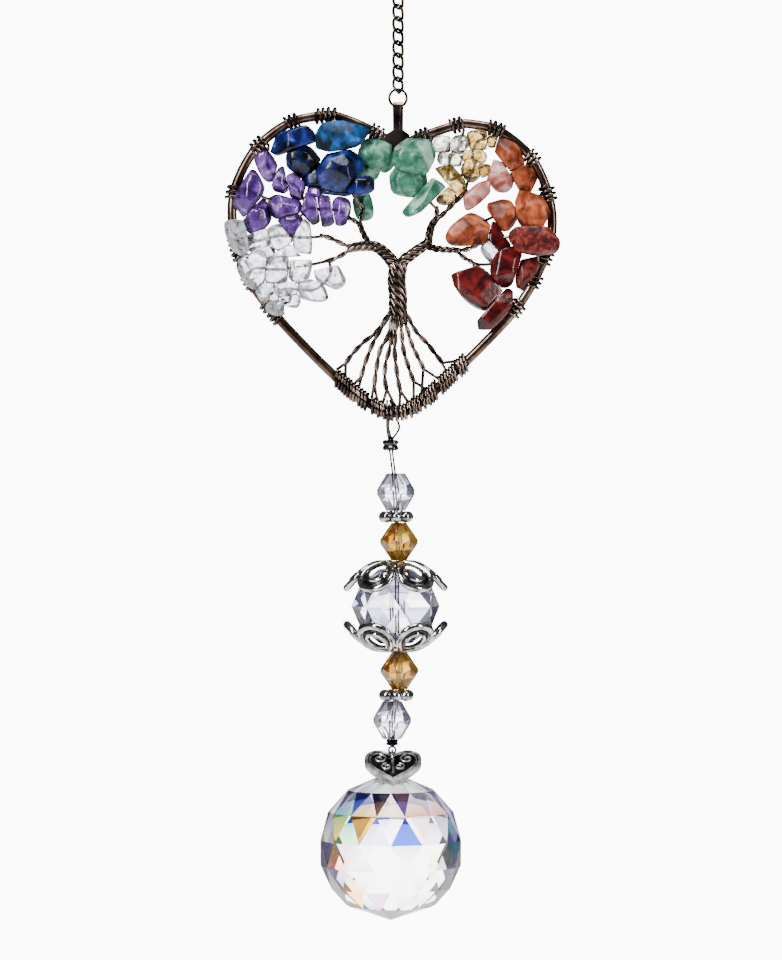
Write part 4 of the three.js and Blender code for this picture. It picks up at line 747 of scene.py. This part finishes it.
# %% Gem wires
# Each wire: its stops, which are places or chips, then where it wraps and how many turns.
ROUTES = {
    "wire_lapis": [
        ([at(-7.8, -12.4), "lapis_chips_front", "lapis_chip_top"], (-14.9, 6.6), 5),
        ([at(-7.8, -12.4), "lapis_chips_front", ("lapis_chip_middle", 1, 0), "lapis_chip_left"],
          (-21.9, 5.6), 3),
        ([at(-7.8, -12.4), "aventurine_chip_branch", ("aventurine_chips_dip", 1, 0)], (-4.1, 3.3),
          3),
    ],
    "wire_amethyst": [
        ([at(-9.3, -15.1), ("amethyst_chips_inner", 3, 2, 0), ("amethyst_chips_high", 2, 1, 0)],
          (-29.2, 0.4), 4),
        (["amethyst_chips_inner", ("amethyst_chips_middle", 1, 0), "amethyst_chips_outer"],
          (-34.6, -9.1), 3),
    ],
    "wire_quartz_upper": [
        ([at(-15.3, -18.5), "quartz_chips_tall", ("quartz_chips_high", 1, 0)], (-33.3, -22.3), 4),
        (["quartz_chips_high", "quartz_chip_frame"], (-33.9, -19.6), 2),
    ],
    "wire_quartz_lower": [
        ([at(-14.2, -23.5), ("quartz_chips_tall", 1), ("quartz_chips_low", 1, 0)], (-30.4, -27.9),
          4),
        ([at(-14.2, -23.5), ("quartz_chips_inner", 1, 0), ("quartz_chips_edge", 0, 2)],
          (-27.7, -33.3), 2),
        ([("quartz_chips_edge", 0, 1, 3)], (-25.7, -35.4), 3),
    ],
    "wire_aventurine": [
        ([at(8.1, -13), "aventurine_chip_long", ("aventurine_chips_right", 1, 0)], (4.8, 2.3), 4),
    ],
    "wire_citrine": [
        ([at(13.7, -9.6), ("citrine_chips_right", 3, 2, 0)], (20.1, 3.9), 3),
        ([("citrine_chips_right", 3), ("citrine_chips_left", 3, 2, 1)], (12.2, 4.6), 3),
        ([at(13.2, -10.1), "carnelian_chip_narrow", ("carnelian_chips_high", 1, 2)], (27.9, -2.3),
          3),
        ([("carnelian_chips_high", 1, 0)], (21.2, 3.4), 1.5),
    ],
    "wire_carnelian": [
        ([at(15.5, -20.8), "carnelian_chip_pointed", "carnelian_chip_inner",
          "carnelian_chips_outer"], (31, -9.5), 4),
        ([at(15.5, -20.8), "jasper_chips_middle", "jasper_chip_frame"], (30.6, -23), 3),
    ],
    "wire_jasper": [
        ([at(14.8, -23.5), at(16.8, -24.3), ("jasper_chips_middle", 1), "jasper_chip_triangle"],
          (28.3, -27.9), 3),
        ([at(15.6, -24), "jasper_chip_broad", "jasper_chip_low"], (24.6, -33.3), 4),
    ],
}


def spots_of(stop):
    """A stop is a place, a piece's first chip, or a piece with the numbers of its chips."""
    if isinstance(stop, Vector):
        return [stop]
    name, *numbers = (stop, 0) if isinstance(stop, str) else stop
    return [at(*CHIPS[name][number].spot) for number in numbers]


WRAP_PITCH = 3.1 * WIRE
for name, routes in ROUTES.items():
    paths = []
    for stops, wrap, turns in routes:
        stops = [spot for stop in stops for spot in spots_of(stop)]
        reach = nearest_on_rod(at(*wrap))
        turns = 0.8 * turns
        half = turns * WRAP_PITCH / 2
        outward = on_rod(reach - half)[2]
        towards = stops[-1] - on_rod(reach)[0]
        phase = math.atan2(towards.y, towards.dot(outward)) + 0.3
        turn = coil(reach - half, reach + half, turns, phase, 0.14)
        # A dark sleeve of painted shade on the rod under this wrap.
        painted_shade_sleeves.append(rod_between(reach - half - 0.2, reach + half + 0.2))
        paths.append(smooth_path([*stops, turn[0]], pieces=8)[:-1] + turn)
    place(f"{name}_threaded", [wires(paths, WIRE)], "old_copper", "copper", [name])
# The sleeves are painted shade: dark copper on the rod between the turns of the wraps.
place("heart_rod_painted_shade", [wires(painted_shade_sleeves, ROD + 0.04, roundness=6)], "painted_shade_copper", "copper",
      ["heart_frame"])
print("gem wires:", len(ROUTES), "with", len(painted_shade_sleeves), "tarnished places on the rod")


# %% [markdown]
# ## Chain and rings
# A curb chain is wire links, each turned a quarter about its own length so that the chain lies
# flat. One link is a closed path that turns an eighth each way and leans a little, and the
# chain repeats it at an even pitch below the hook ring. The last link's lower end turns on, so
# that it hangs square in the jump ring.

# %% Chain, hook ring and jump ring
PATH_STEPS = 40
LINK_PITCH, LINKS = 2.5, 9


def ring_path(top, x, width, gauge, faces_x):
    """A wire ring, from the inside of its top; gauge is the wire's thickness."""
    radius, middle = (width - gauge) / 2, top - (width / 2 - gauge)
    path = []
    for i in range(PATH_STEPS):
        angle = 2 * math.pi * i / PATH_STEPS
        across = radius * math.cos(angle)
        flat = Vector((0, across, 0)) if faces_x else Vector((across, 0, 0))
        path.append(flat + Vector((x, 0, middle + radius * math.sin(angle))))
    return path


def curb_link(middle, foot, half=0.7, bend=0.95, lean=0.11, steps=32):
    """Half a link's straight length and its bend make it; foot is its lower end's turn."""
    path = []
    for i in range(steps):
        angle = 2 * math.pi * i / steps
        straight = half * max(-1, min(1, 3 * math.sin(angle)))
        up = bend * math.sin(angle) + straight
        turn = -(foot if up < 0 else math.pi / 4) * up / (half + bend)
        across = bend * math.cos(angle)
        path.append(Vector((across * math.cos(turn) - lean * up, across * math.sin(turn),
                            middle + up)))
    return path


first_link = -7.28
links = [curb_link(first_link - LINK_PITCH * i, math.pi / (2 if i == LINKS - 1 else 4))
         for i in range(LINKS)]
for name, paths, radius, roundness, solid in (
    ("hook_ring", [ring_path(0, 0, 8, 0.9, True)], 0.45, 5, "hanging_ring"),
    ("chain_links", links, 0.32, 4, "curb_chain"),
    ("bail_ring", [ring_path(-28.36, 0, 4.1, 0.5, False)], 0.29, 4, "jump_ring"),
):
    place(name, [wires(paths, radius, True, roundness)], "bronze", "bronze", [solid])

# %% [markdown]
# ## Bail
# The bail is a strap folded over the jump ring and pinched over the rod's two ends, with its
# long edges rolled forward. Its solid has the right outline already, so a copy is taken, its
# edges are rounded, and a thick wire along each side makes the rolled edge.

# %% Bail
bail = softened(solid_copy("bail"), 0.34, 4)
rolled = [[Vector((side * 0.7, -0.88, DIP + 3)), Vector((side * 0.76, -0.9, DIP + 8.34))]
          for side in (-1, 1)]
bail.from_mesh(wires(rolled, 0.36))
place("folded_bail", bail, "old_copper", "copper", ["bail"], crisp=True)

# %% [markdown]
# ## Turned parts
# Crimps, the webs of the spacers and the crowns of the caps are turned shapes. A profile of a
# few points is spun about the axis, its seam is merged, and its faces are made to look out. A
# primitive ring would have only one radius of section.

# %% Spin a profile
def turned(profile, x, z):
    """A profile of radii and heights, spun about an upright axis."""
    bm = bmesh.new()
    verts = [bm.verts.new((radius, 0, height)) for radius, height in profile]
    edges = [bm.edges.new(pair) for pair in zip(verts, verts[1:] + verts[:1])]
    bmesh.ops.spin(
        bm, geom=verts + edges, axis=(0, 0, 1), cent=(0, 0, 0), angle=2 * math.pi, steps=32,
        use_merge=True, use_duplicate=False,
    )
    bmesh.ops.remove_doubles(bm, verts=bm.verts, dist=1e-4)
    bmesh.ops.recalc_face_normals(bm, faces=bm.faces)
    bmesh.ops.translate(bm, vec=(x, 0, z), verts=bm.verts)
    return bm


# %% [markdown]
# ## Strand wire
# A wire is looped over the heart's tip, gathered by a crimp, run down double through every bead
# and closed in an eye. Beads never hang quite in line, so each has a small sway to the side,
# and the wire follows it.

# %% Strand places
SWAY = {
    "crimp": -1.55, "clear_upper": -0.45, "spacer_upper": -0.4, "amber_upper": 0.2,
    "crystal": -0.5, "amber_lower": 0.3, "spacer_lower": -0.35, "clear_lower": -1.2,
    "crimp_lower": -1.2, "charm": -1.03, "ball": -1.5,
}
LEVEL = {
    "crimp": -101.74, "clear_upper": -111.44, "spacer_upper": -116.56, "amber_upper": -121.68,
    "crown_upper": -126.2, "crystal": -135.02, "crown_lower": -143.84, "amber_lower": -148.36,
    "spacer_lower": -153.48, "clear_lower": -158.6, "crimp_lower": -163.22, "link": -166.62,
    "ball": -185.02,
}
strand_stops = [Vector((SWAY["crimp"], 0, LEVEL["crimp"] + 1.8))]
for bead in ("crimp", "clear_upper", "spacer_upper", "amber_upper", "crystal", "amber_lower",
             "spacer_lower", "clear_lower", "crimp_lower"):
    strand_stops.append(Vector((SWAY[bead], 0, LEVEL[bead])))
strand_stops.append(Vector((SWAY["crimp_lower"], 0, LEVEL["crimp_lower"] - 0.9)))

# %% Strand loop, pair and eye
loop_reach = 2.3  # from the rod's middle, so that it clears the wraps
loop_middle = Vector((-1.9, 0, on_rod(under(-1.9))[0].z))
loops = []
for lean, spread in ((-0.35, 0.0), (0.35, 0.9)):
    loops.append(smooth_path([
        Vector((SWAY["crimp"] + lean / 2, 0, LEVEL["crimp"] + 1.2)),
        loop_middle + Vector((lean - spread / 2, -1.3, -2.9)),
        loop_middle + Vector((lean, -loop_reach, -0.4)),
        loop_middle + Vector((lean, -0.9, loop_reach * 0.9)),
        loop_middle + Vector((lean, 0.9, loop_reach * 0.9)),
        loop_middle + Vector((lean + spread, loop_reach, -0.5)),
        loop_middle + Vector((lean + spread * 2, 1.1, -3.2)),
        Vector((SWAY["crimp"] + lean, 0.1, LEVEL["crimp"] + 1.2)),
    ]))
eye_top = LEVEL["crimp_lower"] - 1.12
beside = Vector((0.27, 0, 0))
pair = [smooth_path([stop + side for stop in strand_stops]) for side in (beside, -beside)]
place(
    "strand_wires",
    [wires(pair, 0.22), wires(loops, 0.25),
     wires([ring_path(eye_top, SWAY["crimp_lower"], 1.9, 0.5, False)], 0.25, True)],
    "steel", "silver", ["strand_wire"],
)


# %% [markdown]
# ## Crimps
# A crimp is a short soft tube that is squeezed on the wire until it grips. Its middle is pressed
# in and its ends stand out, which a turned profile gives at once.

# %% Crimps
def crimp(wide, half, x, z):
    """A short tube whose middle has been pressed in; wide and half are half its sizes."""
    profile = [(0.42, half), (0.42, -half), (wide - 0.35, -half), (wide, -0.72 * half),
               (wide, -0.4 * half), (wide - 0.3, 0), (wide, 0.4 * half), (wide, 0.72 * half),
               (wide - 0.35, half)]
    return turned(profile, x, z)


for name, wide, half, spot, solid in (("crimp_top", 1.7, 1.1, "crimp", "crimp_upper"),
                                      ("crimp_bottom", 1.35, 0.6, "crimp_lower", "crimp_lower")):
    place(name, crimp(wide, half, SWAY[spot], LEVEL[spot]), "steel", "silver", [solid],
          crisp=True)


# %% [markdown]
# ## Daisy spacers
# A daisy spacer is a flat ring of little balls cast in one, polished on the balls and dark
# between them, where it is blackened and lies in shade. Seven balls on a circle and a darker web
# make it, as two pieces, so that each has its own finish; the web's dark silver paints the
# blackening and the shade between the balls.

# %% Spacers
BALLS = 7


def daisy(x, z):
    bm = bmesh.new()
    for i in range(BALLS):
        angle = 2 * math.pi * (i + 0.25) / BALLS
        middle = Matrix.Translation((x + 2.5 * math.cos(angle), 2.5 * math.sin(angle), z))
        bmesh.ops.create_icosphere(bm, subdivisions=3, radius=1.2, matrix=middle)
    return bm


def daisy_web(x, z):
    return turned(
        [(0.5, 0.8), (0.5, -0.8), (1.5, -0.9), (2.8, -0.6), (2.8, 0.6), (1.5, 0.9)], x, z,
    )


for level in ("upper", "lower"):
    spot = SWAY[f"spacer_{level}"], LEVEL[f"spacer_{level}"]
    place(f"daisy_{level}", daisy(*spot), "silver", "silver", [f"spacer_{level}"])
    # The web is dark silver: blackening and painted shade between the balls.
    place(f"daisy_{level}_web", daisy_web(*spot), "patina_and_shade_silver", "silver", [f"spacer_{level}"])

# %% [markdown]
# ## Cut glass
# Cut glass throws light about: a look into one facet meets the back facets, and some of them show
# dark or split the light into colours. A clear shader alone leaves this out, so every facet has
# painted light on its corners: a tint that paints the dark, bright or coloured look of the facet,
# and it may change from a facet's upper to its lower corners. The tints are squared, since light
# is tinted on its way in and out. A share of the glass is left dull, which lightens the darkest
# looks.

# %% Glass finishes
def glass(name, see_through):
    tree, shader = new_material(name)
    # The base colour is painted light: each facet's tint paints the dark, bright or coloured look
    # that light gives it.
    painted_light = node(tree, "ShaderNodeVertexColor", {"layer_name": "painted_light"})
    tree.links.new(painted_light.outputs["Color"], shader.inputs["Base Color"])
    give(shader, Roughness=0.0, IOR=1.5, Transmission_Weight=see_through)


glass("clear_glass", 0.84)
glass("amber_glass", 0.6)


# %% Facets on rings of corners
def cut_glass(rings, count, x, z, turn):
    """The hull of rings of corners; every other ring is turned by half a step."""
    bm = bmesh.new()
    for level, (radius, height) in enumerate(rings):
        for k in range(count if radius else 1):
            angle = turn + 2 * math.pi * (k + 0.5 * (level % 2)) / count
            bm.verts.new((x + radius * math.cos(angle), radius * math.sin(angle), z + height))
    bmesh.ops.convex_hull(bm, input=bm.verts[:])
    bmesh.ops.dissolve_limit(bm, angle_limit=0.01, verts=bm.verts, edges=bm.edges)
    bmesh.ops.recalc_face_normals(bm, faces=bm.faces)
    return bm


def painted_glass(rings, count, x, z, rows, turn=0.0):
    """Paints light on each row of facets: its cycle of tints, as pairs for the upper and lower
    corners.
    """
    bm = cut_glass(rings, count, x, z, turn)
    tints = bm.loops.layers.float_color.new("painted_light")
    levels = [z + height for _, height in rings]
    for face in bm.faces:
        middle = face.calc_center_median()
        row = sum(level > middle.z for level in levels[1:-1])
        share = math.atan2(middle.y, middle.x - x) / (2 * math.pi) + 0.25
        cycle = rows[min(row, len(rows) - 1)]
        upper, lower = cycle[round(share * 2 * count) % len(cycle)]
        for loop in face.loops:
            shade = upper if loop.vert.co.z > middle.z else lower
            loop[tints] = (*[tint * tint for tint in shade], 1)
    return bm


# Painted light for the glass: whites and pales for bright looks, greys and charcoal for dark
# ones, colours for split light, and honey shades for amber's own colour on its lit and shaded
# facets.
LIGHT_TINTS = {
    "White": (1, 1, 1), "Pale": (0.62, 0.62, 0.74), "Haze": (0.44, 0.44, 0.54),
    "Mist": (0.36, 0.36, 0.44), "Grey": (0.2, 0.2, 0.25), "Charcoal": (0.05, 0.045, 0.055),
    "Brown": (0.12, 0.06, 0.04), "Amber": (0.74, 0.59, 0.27), "Honey": (0.58, 0.42, 0.15),
    "Dark honey": (0.47, 0.27, 0.08), "Indigo": (0.05, 0.045, 0.2), "Blue": (0.025, 0.07, 0.55),
    "Teal": (0.1, 0.5, 0.55), "Yellow": (1, 0.7, 0.14), "Gold": (0.55, 0.3, 0.03),
    "Orange": (0.9, 0.4, 0.1), "Pink": (0.9, 0.36, 0.38), "Magenta": (0.38, 0.06, 0.22),
    "Purple": (0.24, 0.16, 0.52), "Leaf": (0.36, 0.66, 0.22), "Lilac": (0.5, 0.46, 0.68),
    "Olive": (0.2, 0.26, 0.16),
}
SHORT = {name[:2]: tint for name, tint in LIGHT_TINTS.items()}


def tint_rows(*rows):
    """Rows of facets, each its upper and lower tint of painted light by the first two letters of
    their names.
    """
    return [[(SHORT[pair[:2]], SHORT[pair[2:]]) for pair in row.split()] for row in rows]


print("tints:", len(LIGHT_TINTS))

# %% [markdown]
# ## Bicones and round crystal
# A bicone is two cones cut in eight facets that meet in a narrow girdle. The round crystal is cut
# in large lozenges. The hull of a few rings of corners gives every facet flat and closed, as a
# grinding wheel would, and both beads keep the width and height of their solids. Their rows of
# tints are painted light: dark and bright looks for clear glass, and for amber its own colour
# with painted highlights and shade.

# %% Bicones and round crystal
AMBER_ROWS = tint_rows(
    "DaHo HoAm HoDa AmHo DaDa",
    "HoDa AmAm DaHo",
    "AmHo DaHo HoHo HoDa",
)
CLEAR_ROWS = tint_rows(
    "GrPa WhPa PaWh MiPa WhWh",
    "PaMi WhPa PaGr",
    "WhPa PaMi WhGr PaWh",
)
for colour, level, slot, rows, end in (
    ("clear", "upper", "crystal", CLEAR_ROWS, 2.0), ("amber", "upper", "amber", AMBER_ROWS, 1.6),
    ("amber", "lower", "amber", AMBER_ROWS, 1.6), ("clear", "lower", "crystal", CLEAR_ROWS, 2.0),
):
    girdle = 0.25 * end
    rings = [(end, 3.9), (4, girdle), (4, -girdle), (end, -3.9)]
    x, z = SWAY[f"{colour}_{level}"], LEVEL[f"{colour}_{level}"]
    bicone = painted_glass(rings, 8, x, z, rows, 0.2)
    solid = f"{colour}_bicone_{level}"
    place(f"{solid}_cut", bicone, f"{colour}_glass", slot, [solid], flat=True)

CRYSTAL_ROWS = tint_rows(
    "HaPa MiHa WhPa",
    "HaMi WhWh HaPa PaWh MiHa",
    "PaWh HaHa WhPa HaGr PaHa",
    "HaMi WhPa GrHa",
)
rings = [(3.4, 7.7), (7.6, 4.6), (9.2, 0), (7.6, -4.6), (3.4, -7.7)]
x, z = SWAY["crystal"], LEVEL["crystal"]
crystal = painted_glass(rings, 8, x, z, CRYSTAL_ROWS, 0.1)
place("round_crystal_cut", crystal, "clear_glass", "crystal", ["round_crystal"], flat=True)

# %% [markdown]
# ## The ball
# The ball is cut in rows of triangles on eight rings of corners. In the light of a window its
# facets show pale glass at the top, a dark row below, then a row with strong colours, and a clear
# white middle. A ray-traced split of light would take hours, so the tints stand for it: painted
# light that gives the facets these pale, dark, coloured and white looks.

# %% Ball facets and their tints
# Each row starts at the front and goes round to the right; its cycle runs twice round the ball.
# Painted light on the ball's facets, row by row.
BALL_ROWS = tint_rows(
    "PaWh WhPa MiPa PaWh",
    "WhYe BrIn WhOr PaMi WhPi LiPa PaPa ChMi PaWh InLi PaTe InBl WhYe ChBr",
    "PaWh InBl PaOr MaPa PaWh TePu LiPa PaMi MiPa PaWh LeYe BlLe GoBr PaPa",
    "WhWh PaWh WhWh WhYe OlMi TeLi PaWh MiPa LiPa LiMi YePi PaPi WhPa WhWh",
    "WhWh WhWh WhPa YeWh WhPa PaMi WhPa PaMi MiPa PaWh LiBr LiYe WhPa WhWh",
    "WhWh WhLi MiWh WhTe PaWh MiGr PaWh WhPa MiMi GrPa WhYe PiYe WhMi LiPi",
    "LiMi TePa MiGr InGr LePa MiLi PiMi",
)
BALL_RADIUS = 15
rings = [(BALL_RADIUS * math.sqrt(1 - high * high), BALL_RADIUS * high)
         for high in (0.985, 0.8, 0.5, 0.12, -0.24, -0.54, -0.79)] + [(0, -BALL_RADIUS)]
x, z = SWAY["ball"], LEVEL["ball"]
ball = painted_glass(rings, 14, x, z, BALL_ROWS)
print("ball facets:", len(ball.faces))
place("ball_cut", ball, "clear_glass", "crystal", ["crystal_ball"], flat=True)

# %% [markdown]
# ## Bead caps
# Each cap is a crown with six open petals that follow the crystal's dome and flare at their tips.
# It is cast, and the band of a petal has two polished rims with a groove between them that is
# blackened and lies in shade. Three loops of wire make it: a thick bright one, a dark one and a
# thin bright one, all thicker at the petal's tip. The dark loop paints the groove's blackening
# and its shade at once.

# %% Caps
DOME_WIDE, DOME_HIGH = 9.2, 8.3 / math.sqrt(1 - 0.36**2)


def petal(azimuth, reach, sink=0.0):
    """A loop on the dome; reach is its share of a petal's size, sink lowers it."""
    path = []
    for i in range(48):
        angle = 2 * math.pi * i / 48
        share = 0.5 + 0.5 * math.cos(angle)
        polar = 0.75 + 0.45 * reach * math.cos(angle)
        stand = 0.7 + 0.9 * share * share + 0.45 * math.sin(angle) ** 2 - sink
        turn = azimuth + 0.44 * reach * math.sin(angle) * (1 + 0.12 * math.cos(angle))
        radius = (DOME_WIDE + stand) * math.sin(polar)
        height = (DOME_HIGH + stand) * math.cos(polar) - 8.82
        path.append(Vector((radius * math.cos(turn), radius * math.sin(turn), height)))
    return path


AZIMUTHS = [2 * math.pi * (i + 0.5) / 6 + math.pi / 2 for i in range(6)]


def fatter_tip(part):
    return 0.9 + 0.3 * math.cos(2 * math.pi * part)


def rims():
    outer = wires([petal(azimuth, 1.0) for azimuth in AZIMUTHS], 0.66, True, 4, fatter_tip)
    inner = wires([petal(azimuth, 0.6) for azimuth in AZIMUTHS], 0.38, True, 3, fatter_tip)
    crown = turned([(0.6, 0.45), (0.6, -0.3), (2.3, -0.35), (2.9, -0.1), (2.7, 0.3), (1.8, 0.5)],
                   0, 0)
    return gathered([outer, inner, as_mesh(crown)])


# The dark loop in each petal paints the groove's blackening and its shade.
def grooves():
    paths = [petal(azimuth, 0.8, 0.2) for azimuth in AZIMUTHS]
    return gathered([wires(paths, 0.46, True, 3, fatter_tip)])


def on_crystal(bm, level, upright):
    if not upright:
        bmesh.ops.rotate(bm, matrix=Matrix.Rotation(math.pi, 3, "X"), verts=bm.verts)
    bmesh.ops.translate(bm, vec=(SWAY["crystal"], 0, level), verts=bm.verts)
    return bm


for end in ("upper", "lower"):
    level, upright = LEVEL[f"crown_{end}"], end == "upper"
    place(f"cap_{end}", on_crystal(rims(), level, upright), "silver", "silver",
          [f"bead_cap_{end}"], crisp=True)
    place(f"cap_{end}_grooves", on_crystal(grooves(), level, upright), "patina_and_shade_silver", "silver",
          [f"bead_cap_{end}"])

# %% [markdown]
# ## Link ring, ball eye and charm
# The ring at the strand's end carries the ball's eye and a small cast heart that lies on the
# ball. The charm has a raised double rim round a dark sunk face with two mirrored pairs of bright
# scrolls on a stem; the sunk face's dark silver paints its blackening and the shade in the
# recess. Casting makes it in one; here the plate is pushed out of a flat heart, and wires laid on
# it make the relief.

# %% Link ring and ball eye
link_top = eye_top - 0.78
place("link", [wires([ring_path(link_top, SWAY["crimp_lower"], 4, 0.5, True)], 0.25, True)],
      "silver", "silver", ["link_ring"])
ball_eye_top = link_top - 2.88
pin = [Vector((SWAY["ball"], 0, ball_eye_top - drop)) for drop in (1.9, 4.6)]
place("ball_pin", [wires([ring_path(ball_eye_top, SWAY["ball"], 2.4, 0.5, False)], 0.25, True),
                   wires([pin], 0.25)], "silver", "silver", ["ball_eye"])

# %% Charm
CHARM_WIDE = 11.9


def flat_heart(width, drop=0.0):
    """A heart's outline in four bends, each drawn by four places."""
    bends = [
        ((0, 0), (0.12, 0.2), (0.5, 0.22), (0.5, -0.1)),
        ((0.5, -0.1), (0.5, -0.38), (0.16, -0.6), (0, -0.76)),
        ((0, -0.76), (-0.16, -0.6), (-0.5, -0.38), (-0.5, -0.1)),
        ((-0.5, -0.1), (-0.5, 0.22), (-0.12, 0.2), (0, 0)),
    ]
    path = []
    for bend in bends:
        for i in range(14):
            t = i / 14
            shares = ((1 - t) ** 3, 3 * t * (1 - t) ** 2, 3 * t * t * (1 - t), t**3)
            x, y = (sum(share * place[k] for share, place in zip(shares, bend)) for k in (0, 1))
            path.append(Vector((x * width, y * width - drop, 0)))
    return path


def heart_plate(width, top, bottom, drop=0.0):
    bm = bmesh.new()
    rim = [bm.verts.new(place + Vector((0, 0, bottom))) for place in flat_heart(width, drop)]
    face = bm.faces.new(rim)
    made = bmesh.ops.extrude_face_region(bm, geom=[face])
    lifted = [part for part in made["geom"] if isinstance(part, bmesh.types.BMVert)]
    bmesh.ops.translate(bm, vec=(0, 0, top - bottom), verts=lifted)
    bmesh.ops.recalc_face_normals(bm, faces=bm.faces)
    return bm


def scroll(x, y, size, way):
    path = []
    for i in range(26):
        part = i / 25
        angle = way * 2 * math.pi * 1.3 * part
        reach = size * (1 - 0.8 * part)
        path.append(Vector((x + reach * math.sin(angle), y + reach * math.cos(angle), 0.08)))
    return path


def on_ball(bm):
    bmesh.ops.rotate(bm, matrix=Matrix.Rotation(0.54, 3, "X"), verts=bm.verts)
    bmesh.ops.translate(bm, vec=(SWAY["charm"], 0.45, LEVEL["link"] + 0.75), verts=bm.verts)
    return bm


rim_outer = [p + Vector((0, 0, -0.02)) for p in flat_heart(CHARM_WIDE - 0.5, 0.25)]
rim_inner = [p + Vector((0, 0, 0.02)) for p in flat_heart(CHARM_WIDE - 2.2, 0.85)]
body = heart_plate(CHARM_WIDE - 0.1, 0, -1.7)
charm_bright = gathered([
    wires([rim_outer], 0.2, True, 3), wires([rim_inner], 0.17, True, 2),
    as_mesh(softened(body, 0.12)),
    wires([scroll(side * x, y, size, side * way) for side in (-1, 1)
           for x, y, size, way in ((2.8, -1.4, 1.45, -1), (1.3, -4.2, 1.15, 1))], 0.2),
    wires([[Vector((0, -1.2, 0.08)), Vector((0, -6.6, 0.08))]], 0.22),
])
place("charm_heart", on_ball(charm_bright), "satin_silver", "silver", ["heart_charm"],
      crisp=True)
# The sunk face is dark silver, which paints its blackening and the shade in the recess.
charm_dark = heart_plate(CHARM_WIDE - 1.5, 0.05, -0.3, 0.55)
place("charm_face", on_ball(charm_dark), "patina_and_shade_silver", "silver", ["heart_charm"], crisp=True)


# %% [markdown]
# ## Stage, light and camera
# The suncatcher hangs before a glowing white wall over a pale floor. The wall shows only from
# its front, so the back can be looked at, and not in reflections, so the metal keeps dark
# edges. Four soft lamps, from the left, the right, above and below, give narrow highlights,
# and the dim room gives metal and cut glass something dark to show.

# %% Floor and wall
give(new_material("floor_pale")[1], Base_Color=(0.8, 0.8, 0.8, 1), Roughness=0.8)
tree, shader = new_material("stage_white")
give(shader, Base_Color=(0.93, 0.93, 0.93, 1), Roughness=0.9, Emission_Color=(1, 1, 1, 1),
     Emission_Strength=9)
clear = node(tree, "ShaderNodeBsdfTransparent")
behind = node(tree, "ShaderNodeNewGeometry").outputs["Backfacing"]
both = node(tree, "ShaderNodeMixShader", Fac=behind)
tree.links.new(shader.outputs[0], both.inputs[1])
tree.links.new(clear.outputs[0], both.inputs[2])
tree.links.new(both.outputs[0], tree.nodes["Material Output"].inputs["Surface"])


def stage_plane(name, finish, width, height, middle, upright):
    bm = bmesh.new()
    bmesh.ops.create_grid(bm, x_segments=1, y_segments=1, size=0.5)
    bmesh.ops.scale(bm, vec=(width, height, 1), verts=bm.verts)
    if upright:
        bmesh.ops.rotate(bm, matrix=Matrix.Rotation(math.pi / 2, 3, "X"), verts=bm.verts)
    bmesh.ops.translate(bm, vec=middle, verts=bm.verts)
    mesh = as_mesh(bm, name)
    mesh.materials.append(MATERIALS[finish])
    plane = linked(name, mesh)
    return plane


stage_plane("floor", "floor_pale", 1.6, 1.6, (0, 0, -0.34), False)
wall = stage_plane("wall", "stage_white", 0.76, 0.9, (0, 0.5, -0.1), True)
wall.visible_glossy = False


# %% Lights
def soft_light(name, spot, target, size, power):
    lamp = bpy.data.lights.new(name, "AREA")
    lamp.shape = "RECTANGLE"
    lamp.size, lamp.size_y = size
    lamp.energy = power
    light = linked(name, lamp)
    light.location = spot
    light.rotation_euler = (Vector(target) - Vector(spot)).to_track_quat("-Z", "Y").to_euler()


hanging = (0, 0, -0.1)
soft_light("key", (-0.42, -0.55, 0.25), hanging, (0.1, 0.5), 9)
soft_light("fill", (0.55, -0.4, 0.05), hanging, (0.08, 0.45), 4)
soft_light("top", (0, -0.15, 0.45), hanging, (0.3, 0.15), 3)
soft_light("low", (0.08, -0.6, -0.4), (0, 0, -0.17), (0.4, 0.12), 3)

world = bpy.data.worlds.new("room")
world.use_nodes = True
give(world.node_tree.nodes["Background"], Color=(0.8, 0.82, 0.86, 1), Strength=0.12)
bpy.context.scene.world = world

print("lights:", len(bpy.data.lights))

# %% Camera
AWAY = 0.745  # metres from the camera to the suncatcher
VIEW_HEIGHT = 960 * 0.2069 * MM  # metres; the picture's height in pixels times a pixel's size
SENSOR = 36
lens = bpy.data.cameras.new("camera")
camera = linked("camera", lens)
camera.location = (-1.45 * MM, -AWAY, (DIP - 68.9) * MM)
camera.rotation_euler = (math.pi / 2, 0, 0)
lens.sensor_width = lens.sensor_height = SENSOR
lens.lens = SENSOR * AWAY / VIEW_HEIGHT
bpy.context.scene.camera = camera
print("lens in mm:", round(lens.lens, 1))
